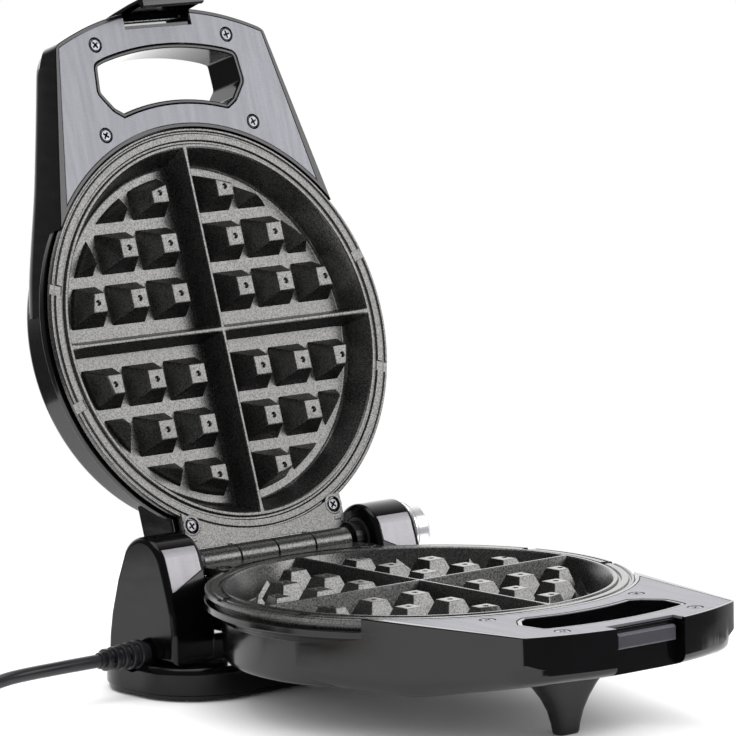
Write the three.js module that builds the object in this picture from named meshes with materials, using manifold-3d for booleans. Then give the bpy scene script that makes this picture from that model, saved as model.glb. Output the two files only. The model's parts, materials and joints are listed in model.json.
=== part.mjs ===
// A flip-type round Belgian waffle maker, standing open.
//
// Two near-identical halves turn about one hinge axis between the two towers of the base. Each half
// is built in its own frame: the hinge axis is X, +Y runs from the hinge towards the handle, the
// mating plane is Z = 0 and the body lies below it. The lower half is that frame turned half round
// about Z, and the lid is the same frame tipped up about X.
import * as THREE from "three";
import { mergeVertices } from "three/addons/utils/BufferGeometryUtils.js";
import Module from "manifold-3d";

const wasm = await Module();
wasm.setup();
const { Manifold, Mesh } = wasm;

// ---- Driving dimensions, in millimetres and degrees --------------------------------------------
const AXIS_HEIGHT = 59; // hinge axis above the surface that the base stands on
const OPEN_TILT = 72.7; // the open lid, up from flat on its back
const GAP = 0.3; // between neighbouring pieces
const FACE = -0.25; // each half's top face lies this far below the mating plane
const PLATE_Y = 111; // centre of the round plate, from the hinge axis
const FACETS = 36; // sides of the round pan's turned shapes

const RIM_RADIUS = 100.8; // cast plate's outer edge
const RIM_THICKNESS = 3.1;
const CAVITY_TOP = 90.5; // radius of the batter cavity at its mouth
const CAVITY_FLOOR = 84.5;
const CAVITY_DEPTH = 14;
const CASTING = 2.5; // wall of the casting

const POST_PITCH = 25; // waffle posts
const POST_FIRST = 20; // first post's centre from the plate's centre lines
const POST_BASE = 9.9; // half widths
const POST_TIP = 4.75;
const RIB_BASE = 4;
const RIB_CREST = 0.9;

const KNUCKLES = [[-23, 0], [23, 46]]; // stretches along X that this half's barrels take
const BARREL_RADIUS = 6.5;
const PIN_RADIUS = 2.4;
const FLANGE_HALF = 49;
const FLANGE_BACK = 9;
const FLANGE_SCREW = [43.8, 18.2];

const SHELL_DEPTH = 35; // bottom of the round housing below the mating plane
const WALL = 2.4; // moulded walls
const LIP_RADIUS = 101.3;
const LIP_TOP = -6.2;

const HANDLE_ARC = 150; // front edge of the handle, an arc about (0, 122)
const HANDLE_ARC_Y = 122;
const HANDLE_CORNER = [64, 257.6];
const HANDLE_ROOT = [80.2, 173];
const PAN_TANGENT = [91.6, 131];
const HANDLE_FRONT_DEPTH = 23.3;
const TRIM = 1.2; // thickness of the metal trim plates

const LATCH_HALF = 19; // half width of the latch
const LATCH_AXIS = [268.4, -9]; // y and z of its pin
const RECESS_FLOOR = 264.6;

const TOWER_IN = 53.5; // inner and outer faces of the towers
const TOWER_OUT = 79;
const TOWER_RADIUS = 16.6;
const TRUNNION_RADIUS = 8;
const TRAY_TOP = 16.3;
const TRAY_HALF = [87, 42];
const CORD_RADIUS = 3.2;
const CORD_EXIT_Z = 20;

// ---- Solids ------------------------------------------------------------------------------------
const AXES = {
  z: new THREE.Matrix4(),
  x: new THREE.Matrix4().makeBasis(
    new THREE.Vector3(0, 1, 0), new THREE.Vector3(0, 0, 1), new THREE.Vector3(1, 0, 0)),
  y: new THREE.Matrix4().makeBasis(
    new THREE.Vector3(1, 0, 0), new THREE.Vector3(0, 0, 1), new THREE.Vector3(0, -1, 0)),
};

// A closed three.js geometry as a manifold solid.
function solid(geometry) {
  const bare = geometry.index ? geometry.toNonIndexed() : geometry.clone();
  bare.deleteAttribute("normal");
  bare.deleteAttribute("uv");
  const merged = mergeVertices(bare, 1e-4);
  return new Manifold(new Mesh({
    numProp: 3,
    vertProperties: merged.attributes.position.array,
    triVerts: new Uint32Array(merged.index.array),
  }));
}

function geometryOf(manifold) {
  const mesh = manifold.getMesh();
  const geometry = new THREE.BufferGeometry();
  geometry.setAttribute("position", new THREE.BufferAttribute(mesh.vertProperties, 3));
  geometry.setIndex(new THREE.BufferAttribute(mesh.triVerts, 1));
  return geometry;
}

function box(x0, x1, y0, y1, z0, z1) {
  const geometry = new THREE.BoxGeometry(x1 - x0, y1 - y0, z1 - z0);
  return solid(geometry.translate((x0 + x1) / 2, (y0 + y1) / 2, (z0 + z1) / 2));
}

// An outline extruded from one level to another. Along z the outline is in x and y; along x it is
// in y and z; along y it is in x and z, and the levels then count towards -Y.
function prism(outline, low, high, along = "z", round = 0) {
  const shape = new THREE.Shape(outline.map(([a, b]) => new THREE.Vector2(a, b)));
  const geometry = new THREE.ExtrudeGeometry(shape, {
    depth: high - low - 2 * round,
    bevelEnabled: round > 0,
    bevelThickness: round,
    bevelSize: round,
    bevelOffset: -round,
    bevelSegments: 2,
  });
  geometry.translate(0, 0, low + round);
  return solid(geometry.applyMatrix4(AXES[along]));
}

// A profile of [radius, level] turned about an axis; the profile starts and ends on it.
function turned(profile, segments, along = "z") {
  const geometry = new THREE.LatheGeometry(profile.map(([r, z]) => new THREE.Vector2(r, z)), segments);
  const made = solid(geometry.rotateX(Math.PI / 2).applyMatrix4(AXES[along]));
  return made.volume() < 0 ? solid(flipped(geometry)) : made;
}

function flipped(geometry) {
  const turnedRound = geometry.index.clone();
  for (let i = 0; i < turnedRound.count; i += 3) {
    const first = turnedRound.getX(i);
    turnedRound.setX(i, turnedRound.getX(i + 1));
    turnedRound.setX(i + 1, first);
  }
  return geometry.clone().setIndex(turnedRound);
}

function rod(radius, low, high, along = "z", segments = 16) {
  return turned([[0, low], [radius, low], [radius, high], [0, high]], segments, along);
}

function union(...solids) {
  return solids.reduce((sum, next) => sum.add(next));
}

function arc(cx, cy, radius, from, to, steps) {
  const points = [];
  for (let i = 0; i <= steps; i++) {
    const angle = THREE.MathUtils.degToRad(from + ((to - from) * i) / steps);
    points.push([cx + radius * Math.cos(angle), cy + radius * Math.sin(angle)]);
  }
  return points;
}

function mirrored(points) {
  return points.map(([a, b]) => [-a, b]).reverse();
}

// A counter-clockwise outline moved inwards by a distance.
function inset(outline, distance) {
  const count = outline.length;
  return outline.map((point, i) => {
    const here = new THREE.Vector2(...point);
    const before = new THREE.Vector2(...outline[(i + count - 1) % count]).sub(here).normalize();
    const after = new THREE.Vector2(...outline[(i + 1) % count]).sub(here).normalize();
    const inward = new THREE.Vector2(-after.y, after.x).add(new THREE.Vector2(before.y, -before.x));
    inward.normalize();
    const reach = distance / Math.max(0.2, inward.dot(new THREE.Vector2(-after.y, after.x)));
    return [here.x + inward.x * reach, here.y + inward.y * reach];
  });
}

// ---- Materials ---------------------------------------------------------------------------------
const finish = (color, roughness, metalness) => new THREE.MeshStandardMaterial({ color, roughness, metalness });
const blackPlastic = finish(0x101114, 0.18, 0);
const darkPlastic = finish(0x17181b, 0.5, 0);
const silverTrim = finish(0xb3b2bd, 0.38, 0.9);
const castCoating = finish(0x3a3a3e, 0.5, 0.35);
const steel = finish(0xb9babd, 0.3, 1);
const chrome = finish(0xe6e7ea, 0.08, 1);
const aluminium = finish(0xc4c6c8, 0.35, 1);
const elementSheath = finish(0x5f5a55, 0.55, 0.9);
const rubber = finish(0x1b1b1c, 0.8, 0);
const bushing = finish(0xd8d4c6, 0.55, 0);
const redLens = finish(0xb01818, 0.15, 0);
const greenLens = finish(0x1e8f3a, 0.15, 0);

function part(name, shape, material, parent) {
  const mesh = new THREE.Mesh(geometryOf(shape), material);
  mesh.name = name;
  parent.add(mesh);
  return mesh;
}

// ---- Cast grid plate ---------------------------------------------------------------------------
function aboutPlate(manifold) {
  return manifold.translate([0, PLATE_Y, 0]);
}

function gridPosts() {
  const height = CAVITY_DEPTH + 0.5 - 1.1;
  const slope = (POST_BASE - POST_TIP) / (CAVITY_DEPTH - 1.1);
  const base = POST_BASE + slope * 0.5;
  const post = solid(
    new THREE.CylinderGeometry(POST_TIP * Math.SQRT2, base * Math.SQRT2, height, 4)
      .rotateY(Math.PI / 4)
      .rotateX(Math.PI / 2)
      .translate(0, 0, -1.1 - height / 2));
  const posts = [];
  for (const [i, j] of [[0, 0], [1, 0], [2, 0], [0, 1], [1, 1], [2, 1], [0, 2], [1, 2]]) {
    const x = POST_FIRST + POST_PITCH * i;
    const y = POST_FIRST + POST_PITCH * j;
    for (const [signX, signY] of [[1, 1], [-1, 1], [1, -1], [-1, -1]]) {
      posts.push(post.translate([signX * x, signY * y, 0]));
    }
  }
  const field = turned([[0, -15], [80.4, -15], [75, 0], [0, 0]], FACETS);
  return union(...posts).intersect(field);
}

function gridRibs() {
  const section = [
    [-RIB_BASE, -CAVITY_DEPTH - 0.3], [RIB_BASE, -CAVITY_DEPTH - 0.3], [RIB_CREST, FACE], [-RIB_CREST, FACE]];
  const lengthwise = prism(section, -95, 95, "y");
  const inWall = turned([[0, -15.5], [86.3, -15.5], [92, FACE], [0, FACE]], FACETS);
  return lengthwise.add(lengthwise.rotate([0, 0, 90])).intersect(inWall);
}

function gridPlate() {
  const under = FACE - RIM_THICKNESS;
  const underFloor = -CAVITY_DEPTH - CASTING;
  const body = turned([
    [0, underFloor], [87.3, underFloor], [92, -7.5], [96.5, -7.5], [96.5, under],
    [RIM_RADIUS, under], [RIM_RADIUS, -1.5], [97.8, -0.6], [94.4, -0.6], [93.2, -1.2],
    [92.2, FACE], [CAVITY_TOP, FACE], [CAVITY_FLOOR, -CAVITY_DEPTH], [0, -CAVITY_DEPTH]], FACETS);
  const dish = aboutPlate(union(body, gridPosts(), gridRibs()));
  const mask = aboutPlate(rod(95, -20, 5, "z", FACETS));
  const flange = box(-FLANGE_HALF, FLANGE_HALF, FLANGE_BACK, 34, -4.2, FACE).subtract(mask);
  let plate = dish.add(flange);
  for (const side of [-1, 1]) {
    const screw = rod(4, -2, 1).add(rod(2, -8, 0, "z", 10));
    plate = plate.subtract(screw.translate([side * FLANGE_SCREW[0], FLANGE_SCREW[1], 0]));
  }
  for (const [low, high] of KNUCKLES) {
    const web = box(low + GAP, high - GAP, 0, FLANGE_BACK + 1, -4.2, FACE);
    plate = plate.add(rod(BARREL_RADIUS, low + GAP, high - GAP, "x", 20)).add(web);
  }
  plate = plate.subtract(rod(PIN_RADIUS + GAP, -60, 60, "x", 12));
  for (const angle of [30, 150, 270]) {
    const at = new THREE.Vector2(44, 0).rotateAround(new THREE.Vector2(), THREE.MathUtils.degToRad(angle));
    plate = plate.add(rod(3.5, -26.2, underFloor + 0.5, "z", 8).translate([at.x, PLATE_Y + at.y, 0]));
  }
  return plate;
}

// ---- Handle outlines ---------------------------------------------------------------------------
// The silver plate and its black border: a front arc, two straight sides and an arc about the pan.
function handleOutline(margin, panRadius) {
  const [cornerX, cornerY] = HANDLE_CORNER;
  const [rootX, rootY] = HANDLE_ROOT;
  const along = new THREE.Vector2(rootX - cornerX, rootY - cornerY).normalize();
  const start = new THREE.Vector2(cornerX + along.y * margin, cornerY - along.x * margin);
  const meet = (centreY, radius, forwards) => {
    const from = new THREE.Vector2(start.x, start.y - centreY);
    const b = from.dot(along);
    const reach = -b + forwards * Math.sqrt(b * b - from.lengthSq() + radius * radius);
    return start.clone().addScaledVector(along, reach);
  };
  const frontRadius = HANDLE_ARC - margin;
  const front = meet(HANDLE_ARC_Y, frontRadius, -1);
  const back = meet(PLATE_Y, panRadius, -1);
  const frontAngle = THREE.MathUtils.radToDeg(Math.atan2(front.y - HANDLE_ARC_Y, front.x));
  const backAngle = THREE.MathUtils.radToDeg(Math.atan2(back.y - PLATE_Y, back.x));
  return [
    ...arc(0, HANDLE_ARC_Y, frontRadius, frontAngle, 180 - frontAngle, 10),
    ...arc(0, PLATE_Y, panRadius, 180 - backAngle, backAngle, 16)];
}

// The same front and sides, carried on into the round of the pan.
function handleBlockOutline() {
  const [tangentX, tangentY] = PAN_TANGENT;
  return [...handleOutline(0, LIP_RADIUS).slice(0, 11), [-tangentX, tangentY], [tangentX, tangentY]];
}

const FINGER_SIDE = [[38, 222.5], [45.5, 232], [44, 247.5]];
const FINGER_HOLE = [
  ...arc(0, PLATE_Y, 112.5, 106.5, 73.5, 8),
  ...FINGER_SIDE,
  ...arc(0, 104.5, 150, 75.5, 104.5, 8),
  ...mirrored(FINGER_SIDE)];

const HANDLE_SCREWS = [[-40.3, 256.3], [40.3, 256.3], [-45.3, 211.5], [45.3, 211.5]];

// Everything below the handle's sloping underside, raised by a thickness.
function underWedge(raise) {
  return prism([
    [150, -60], [300, -60], [300, -HANDLE_FRONT_DEPTH + 1 + raise], [268, -HANDLE_FRONT_DEPTH + 1 + raise],
    [256, -HANDLE_FRONT_DEPTH + raise], [225, -29 + raise], [192, -SHELL_DEPTH + raise],
    [150, -SHELL_DEPTH + raise]], -140, 140, "x");
}

// ---- Moulded housing ---------------------------------------------------------------------------
function housing(isLid) {
  const panOuter = aboutPlate(turned([
    [0, -SHELL_DEPTH], [88.5, -SHELL_DEPTH], [92, -33.8], [93.3, -31.5], [93.8, -14.5], [97.6, -11.6],
    [LIP_RADIUS, -9.6], [LIP_RADIUS, LIP_TOP], [0, LIP_TOP]], FACETS));
  const panInner = aboutPlate(turned([
    [0, -SHELL_DEPTH + WALL], [87.6, -SHELL_DEPTH + WALL], [90, -31.4], [90.9, -29.5], [91.4, -13.6],
    [96.4, -9.2], [98.6, 10], [0, 10]], FACETS));
  const rimClear = aboutPlate(rod(LIP_RADIUS, LIP_TOP, 10, "z", FACETS));

  const rearBlock = box(-52.3, 52.3, 15, 36, -29, -4.6);
  const blockHollow = box(-49.6, 49.6, 17.6, 36, -26.4, 0);
  const handleFoot = prism(handleBlockOutline(), -SHELL_DEPTH, LIP_TOP);
  const handleTop = prism(handleBlockOutline(), LIP_TOP - 0.5, FACE).subtract(rimClear);
  const handleHollow = prism(handleOutline(3.6, LIP_RADIUS + 3.4), -SHELL_DEPTH, 5).subtract(underWedge(WALL));
  const trimSeat = prism(handleOutline(1.7, LIP_RADIUS + 1.4), FACE - TRIM - GAP, 5);
  const recess = box(-LATCH_HALF - 1.5, LATCH_HALF + 1.5, RECESS_FLOOR, 290, -40, 5);
  const recessWall = box(-LATCH_HALF - 4, LATCH_HALF + 4, RECESS_FLOOR - WALL, 290, -40, 0);

  let shell = union(panOuter, rearBlock, handleFoot, handleTop).subtract(underWedge(0));
  shell = shell.subtract(rimClear).subtract(panInner);
  shell = shell.subtract(blockHollow).subtract(handleHollow.subtract(recessWall));
  shell = shell.subtract(trimSeat).subtract(recess);

  const ring = prism(inset(FINGER_HOLE, GAP + 0.1), -SHELL_DEPTH, FACE - 0.1).subtract(underWedge(0));
  shell = shell.add(ring).subtract(prism(inset(FINGER_HOLE, 2.6), -SHELL_DEPTH - 5, 5));
  for (const [x, y] of HANDLE_SCREWS) {
    const boss = rod(4, -SHELL_DEPTH, FACE - TRIM - GAP, "z", 8).translate([x, y, 0]).subtract(underWedge(1));
    shell = shell.add(boss).subtract(rod(1.9, -16, 5, "z", 8).translate([x, y, 0]));
  }
  for (const side of [-1, 1]) {
    const boss = rod(4, -28, -4.6, "z", 8);
    shell = shell.add(boss.translate([side * FLANGE_SCREW[0], FLANGE_SCREW[1] + 1.4, 0]));
    shell = shell.subtract(rod(2, -14, 5, "z", 8).translate([side * FLANGE_SCREW[0], FLANGE_SCREW[1], 0]));
  }
  if (isLid) {
    shell = shell.subtract(rod(1.7, -24, 24, "x", 10).translate([0, ...LATCH_AXIS]));
    for (const x of [-9, 9]) {
      shell = shell.subtract(rod(3.3, -40, -30, "z", 12).translate([x, 60, 0]));
    }
  } else {
    for (const side of [-1, 1]) {
      shell = shell.subtract(box(side * 49.9 - 3, side * 49.9 + 3, 10, 26, -15, -4.4));
    }
  }
  return shell;
}

function handlePlate() {
  let plate = prism(handleOutline(2, LIP_RADIUS + 1.7), FACE - TRIM, FACE);
  plate = plate.subtract(prism(FINGER_HOLE, -5, 5));
  plate = plate.subtract(box(-LATCH_HALF - 1.5, LATCH_HALF + 1.5, RECESS_FLOOR - 2, 290, -5, 5));
  for (const [x, y] of HANDLE_SCREWS) {
    plate = plate.subtract(rod(2.1, -5, 5, "z", 8).translate([x, y, 0]));
  }
  return plate;
}

// A pan-head screw whose head sits on level z = 0.
function panScrew(headRadius, headHeight, length) {
  return turned([
    [0, -length], [1.5, -length + 2], [1.5, 0], [headRadius, 0], [headRadius, headHeight * 0.5],
    [headRadius * 0.6, headHeight], [0, headHeight]], 8);
}

// ---- Heating parts -----------------------------------------------------------------------------
function heatingElement() {
  const bend = arc(0, 0, 62, -68, 248, 20).map(([x, y]) => new THREE.Vector3(x, PLATE_Y + y, -21));
  const tail = ([x, y]) => new THREE.Vector3(x, y, -21);
  const route = [tail([10, 36]), tail([11, 44]), ...bend, tail([-11, 44]), tail([-10, 36])];
  const section = new THREE.Shape(arc(0, 0, 3.2, 0, 300, 5).map(([x, y]) => new THREE.Vector2(x, y)));
  return solid(new THREE.ExtrudeGeometry(section, {
    steps: 32, extrudePath: new THREE.CatmullRomCurve3(route, false, "centripetal"),
  }));
}

function reflector() {
  return aboutPlate(turned([
    [0, -27.4], [82, -27.4], [86.5, -24], [86.5, -23.2], [82, -26.6], [0, -26.6]], 36));
}

// ---- Stand leg under or behind the handle ------------------------------------------------------
const LEG_Y = 212;
const LEG_SIDE = [[22, -30], [21, -33], [17, -37], [12.5, -42], [9, -48], [7, -54], [6.3, -AXIS_HEIGHT]];
const LEG_DEPTH = [[8, -30], [7.4, -34], [6, -40], [5, -47], [4.3, -54], [4, -AXIS_HEIGHT]];

function standLeg() {
  const across = prism([...LEG_SIDE, ...mirrored(LEG_SIDE)].reverse(), -30, 30, "y");
  const deep = prism([...LEG_DEPTH, ...mirrored(LEG_DEPTH)].reverse(), -30, 30, "x");
  const placed = across.intersect(deep).translate([0, LEG_Y, 0]);
  return placed.intersect(underWedge(-GAP));
}

// ---- Trunnions, hinge pin, catch and latch -----------------------------------------------------
function trunnion(side) {
  const disc = rod(8.5, 47.2, 52.6, "x", 20);
  const axle = rod(TRUNNION_RADIUS, 52, 63, "x", 24).subtract(rod(4.5, 53, 64, "x", 12));
  const arm = box(47.4, 52.4, 2, 24, -14.6, -4.8);
  const made = union(disc, axle, arm).subtract(rod(PIN_RADIUS + 0.2, 40, 70, "x", 12));
  return side > 0 ? made : made.mirror([1, 0, 0]);
}

function latch() {
  const profile = [
    [270, -22], [272.4, -16], [273.2, -9], [274.2, 4], [274.6, 15.2], [270.2, 15.4], [269.6, 13.4],
    [270.6, 12.6], [272, 12.2], [271.6, 4], [270.6, -5], [267.9, -8], [268, -13], [267.6, -22]];
  const body = prism([...profile].reverse(), -LATCH_HALF, LATCH_HALF, "x");
  const barrel = rod(3, -LATCH_HALF, LATCH_HALF, "x", 14).translate([0, ...LATCH_AXIS]);
  return body.add(barrel).subtract(rod(1.6, -30, 30, "x", 12).translate([0, ...LATCH_AXIS]));
}

function catchBar() {
  return prism([
    [RECESS_FLOOR + GAP, -10.5], [267.8, -10.5], [268, -9.8], [268, -4.4], [267.2, -3.5],
    [RECESS_FLOOR + GAP, -3.5]], -17.5, 17.5, "x");
}

// ---- One half ----------------------------------------------------------------------------------
function buildHalf(prefix) {
  const isLid = prefix === "lid";
  const half = new THREE.Group();
  part(prefix + "_grid_plate", gridPlate(), castCoating, half);
  part(prefix + "_housing", housing(isLid), blackPlastic, half);
  part(prefix + "_handle_plate", handlePlate(), silverTrim, half);
  part(prefix + "_heating_element", heatingElement(), elementSheath, half);
  part(prefix + "_heat_reflector", reflector(), aluminium, half);
  part(prefix + "_stand_leg", standLeg(), blackPlastic, half);
  HANDLE_SCREWS.forEach(([x, y], i) => {
    part(prefix + "_handle_screw_" + (i + 1), panScrew(3.4, 0.2, 12), steel, half)
      .position.set(x, y, FACE + 0.04);
  });
  [-FLANGE_SCREW[0], FLANGE_SCREW[0]].forEach((x, i) => {
    part(prefix + "_plate_screw_" + (i + 1), panScrew(3.5, 1.3, 9), steel, half)
      .position.set(x, FLANGE_SCREW[1], -1.7);
  });
  return half;
}

// ---- Base --------------------------------------------------------------------------------------
// Everything in the base is placed from the hinge axis: y and z are relative to it.
function roundedPlan(halfX, halfY, radius) {
  const [x, y] = [halfX - radius, halfY - radius];
  return [
    ...arc(x, y, radius, 0, 90, 6), ...arc(-x, y, radius, 90, 180, 6),
    ...arc(-x, -y, radius, 180, 270, 6), ...arc(x, -y, radius, 270, 360, 6)];
}

const TOWER_FOOT = TRAY_TOP - AXIS_HEIGHT + GAP;
const TOWER_PROFILE = [
  [-24.2, TOWER_FOOT], [28.8, TOWER_FOOT], [28, -33], [25.9, -22.2], [20.6, -5.6],
  ...arc(0, 0, TOWER_RADIUS, 20, 152, 9), [-17.4, 0], [-19.8, -8], [-22.8, -18], [-24, -28]];

const TRIM_TOP = 11.5;
const TRIM_X = [56.5, 76];

// The stretch of a tower's front that carries the silver trim, grown by a margin.
function trimZone(margin) {
  const [inner, outer] = TRIM_X;
  const outline = [
    [inner - margin, 0.5 - margin], [outer + margin, -8.3 - margin],
    [outer + margin, TRIM_TOP + margin], [inner - margin, TRIM_TOP + margin]];
  return prism(outline, 4, 40, "y");
}

function towerSolid(margin, round) {
  return prism(inset(TOWER_PROFILE, margin), TOWER_IN, TOWER_OUT, "x", round);
}

function tower(isRight) {
  const skin = towerSolid(0, 1.8);
  const trimSeat = trimZone(GAP).subtract(towerSolid(TRIM, 0));
  const hollow = prism([...inset(TOWER_PROFILE, 3.4)], TOWER_IN + WALL, TOWER_OUT - WALL, "x")
    .add(box(TOWER_IN + WALL, TOWER_OUT - WALL, -20, 24, TOWER_FOOT - 5, TOWER_FOOT + 8));
  let made = skin.subtract(trimSeat).subtract(hollow).subtract(rod(10.4, 50, 60, "x", 24));
  if (isRight) {
    return made.subtract(rod(4.2, 70, 90, "x", 12));
  }
  made = made.mirror([1, 0, 0]);
  return made.subtract(rod(6.2, -90, -70, "x", 16).translate([0, 0, CORD_EXIT_Z - AXIS_HEIGHT]));
}

function towerTrim(side) {
  const band = trimZone(0).intersect(towerSolid(0, 0)).subtract(towerSolid(TRIM - GAP, 0));
  return side > 0 ? band : band.mirror([1, 0, 0]);
}

function bush(side) {
  const made = turned([
    [TRUNNION_RADIUS + 0.12, 53.6], [10.1, 53.6], [10.1, 56.2], [12.4, 56.2], [12.4, 58.6],
    [TRUNNION_RADIUS + 0.12, 58.6], [TRUNNION_RADIUS + 0.12, 53.6]], 24, "x");
  return side > 0 ? made : made.mirror([1, 0, 0]);
}

function baseTray() {
  const [halfX, halfY] = TRAY_HALF;
  const outer = prism(roundedPlan(halfX, halfY, 34), -2, TRAY_TOP, "z", 2).intersect(box(-99, 99, -60, 60, 1.3, 60));
  const inner = prism(roundedPlan(halfX - WALL, halfY - WALL, 32), -5, TRAY_TOP - WALL);
  let tray = outer.subtract(inner);
  for (const side of [-1, 1]) {
    tray = tray.subtract(box(side * 66.5 - 7, side * 66.5 + 7, -12, 14, 10, 30));
    for (const y of [-27, 27]) {
      const boss = rod(4, 4.2, TRAY_TOP - 1, "z", 10).subtract(rod(1.7, 0, 12, "z", 8));
      tray = tray.add(boss.translate([side * 60, y, 0]));
    }
  }
  return tray.subtract(rod(8, -110, -70, "x", 16).translate([0, 0, CORD_EXIT_Z]));
}

function baseCover() {
  let cover = prism(roundedPlan(TRAY_HALF[0] - WALL - 0.4, TRAY_HALF[1] - WALL - 0.4, 31.6), 1.5, 3.6);
  for (const x of [-60, 60]) {
    for (const y of [-27, 27]) {
      cover = cover.subtract(rod(4.2, 0, 2.6, "z", 12).translate([x, y, 0]));
      cover = cover.subtract(rod(1.9, 0, 5, "z", 8).translate([x, y, 0]));
    }
  }
  return cover;
}

function baseFoot() {
  return turned([[0, 0], [5.6, 0], [6.3, 0.5], [6.3, 1.2], [0, 1.2]], 16);
}

// ---- Control -----------------------------------------------------------------------------------
function controlDial() {
  const cap = turned([
    [0, 79.5], [14.5, 79.5], [14.5, 85.4], [13.6, 87.1], [12.4, 87.3], [11, 86.2], [0, 86.2]], 28, "x");
  const grip = box(85.5, 88.6, -2.2, 2.2, -10.4, 10.4);
  return cap.add(grip).subtract(rod(3.1, 70, 84.3, "x", 12));
}

function dialShaft() {
  return rod(2.8, 76.9, 84, "x", 12);
}

function heatRegulator() {
  const body = box(63.6, 76.2, -10.5, 10.5, -17, 7);
  const terminals = box(66, 69, -12, -10, -14, -8).add(box(71, 74, -12, -10, -14, -8));
  return body.add(terminals);
}

function terminalBlock() {
  let block = box(-74, -60, -9, 9, 3.9, 12);
  for (const y of [-5, 5]) {
    block = block.subtract(rod(1.8, -80, -50, "x", 8).translate([0, y, 8]));
  }
  return block;
}

function strainRelief() {
  const profile = [[0, 74.5], [7.6, 74.5], [7.6, 76.2], [5.8, 76.2], [5.8, 82]];
  const ribs = 5;
  for (let i = 0; i < ribs; i++) {
    const x = 82 + i * 4.6;
    const radius = 7 - i * 0.42;
    profile.push([radius, x], [radius, x + 2.7], [radius - 1.5, x + 2.7], [radius - 1.5, x + 4.6]);
  }
  profile.push([4.4, 105.6], [4, 106], [0, 106]);
  return turned(profile, 10, "x").mirror([1, 0, 0]);
}

// ---- Power cord --------------------------------------------------------------------------------
// The cord leaves the left tower, sags to the surface and is wound into a small round coil of two
// layers beside the base, and its end with the plug lies next to the coil.
const COIL_CENTRE = [-250.5, 24.3];
const COIL_INNER = 26.4;
const COIL_OUTER = 44.2;
const COIL_HEIGHT = 13.9;
const COIL_CHAMFER = 2;
const CORD_ROUTE = [
  [-106.3, 0, 20], [-113, 0, 20], [-120, 0, 19.95], [-127, 0, 19.9], [-134, 0, 19.8], [-140, 0, 19.7],
  [-145, 0.05, 19.6], [-150, 0.15, 19.4], [-155, 0.45, 19.1], [-159, 1, 18.6], [-164, 2.1, 17.5],
  [-169, 3.6, 16.1], [-174, 5.5, 14.4], [-178.6, 7.8, 12.5], [-183, 10.4, 10.8], [-187.3, 13.3, 9.1],
  [-191.2, 16.6, 7.6], [-196.3, 22.6, 5.9], [-200.1, 27.2, 5], [-203.6, 31.3, 4.5]];
const TAIL_ROUTE = [
  [-291.1, -0.6, 8.1], [-291, -5, 7.4], [-290.5, -9.6, 7.1], [-289.8, -14, 7.4], [-289, -18.2, 8],
  [-288.3, -22, 8.5], [-287.8, -25, 8.7]];
const PLUG_PLACE = [-284.78, -43.05, 8.7];
const PLUG_TURN = 99.5;

function cordTube(points, steps) {
  const route = new THREE.CatmullRomCurve3(points.map((p) => new THREE.Vector3(...p)));
  const section = new THREE.Shape(arc(0, 0, CORD_RADIUS, 0, 315, 7).map(([x, y]) => new THREE.Vector2(x, y)));
  return solid(new THREE.ExtrudeGeometry(section, { steps, extrudePath: route }));
}

function cordCoil() {
  const cut = COIL_CHAMFER;
  const profile = [
    [COIL_INNER, cut], [COIL_INNER + cut, 0], [COIL_OUTER - cut, 0], [COIL_OUTER, cut],
    [COIL_OUTER, COIL_HEIGHT - cut], [COIL_OUTER - cut, COIL_HEIGHT],
    [COIL_INNER + cut, COIL_HEIGHT], [COIL_INNER, COIL_HEIGHT - cut], [COIL_INNER, cut]];
  return turned(profile, 28).translate([...COIL_CENTRE, 0.1]);
}

// A flat two-pin plug lying on its side, its pins towards -X.
function plug() {
  const outline = [[18, -5], [18, 5], [4, 9], [-14, 9.6], [-14, -9.6], [4, -9]].reverse();
  let body = prism(outline, -8.5, 8.5, "z", 1.6);
  for (const y of [-6.35, 6.35]) {
    body = body.add(box(-31, -13, y - 0.75, y + 0.75, -3.2, 3.2));
  }
  return body;
}

// ---- Assembly ----------------------------------------------------------------------------------
const degrees = THREE.MathUtils.degToRad;
const appliance = new THREE.Group();
const onAxis = new THREE.Group();
onAxis.position.z = AXIS_HEIGHT;
appliance.add(onAxis);

const lower = buildHalf("lower");
lower.rotation.z = Math.PI;
onAxis.add(lower);
part("left_trunnion", trunnion(1), steel, lower);
part("right_trunnion", trunnion(-1), steel, lower);
part("hinge_pin", rod(PIN_RADIUS, -52, 52, "x", 16), steel, lower);
part("catch_bar", catchBar(), silverTrim, lower);

const lid = buildHalf("lid");
lid.rotation.x = degrees(OPEN_TILT);
onAxis.add(lid);
part("latch_pin", rod(1.3, -22, 22, "x", 12), steel, lid).position.set(0, ...LATCH_AXIS);
part("power_lamp", rod(3, -36, -31, "z", 12), redLens, lid).position.set(-9, 60, 0);
part("ready_lamp", rod(3, -36, -31, "z", 12), greenLens, lid).position.set(9, 60, 0);
part("latch", latch(), blackPlastic, lid);

part("left_tower", tower(false), blackPlastic, onAxis);
part("right_tower", tower(true), blackPlastic, onAxis);
part("left_tower_trim", towerTrim(-1), silverTrim, onAxis);
part("right_tower_trim", towerTrim(1), silverTrim, onAxis);
part("left_bush", bush(-1), bushing, onAxis);
part("right_bush", bush(1), bushing, onAxis);
part("control_dial", controlDial(), chrome, onAxis);
part("dial_shaft", dialShaft(), steel, onAxis);
part("heat_regulator", heatRegulator(), darkPlastic, onAxis);

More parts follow.
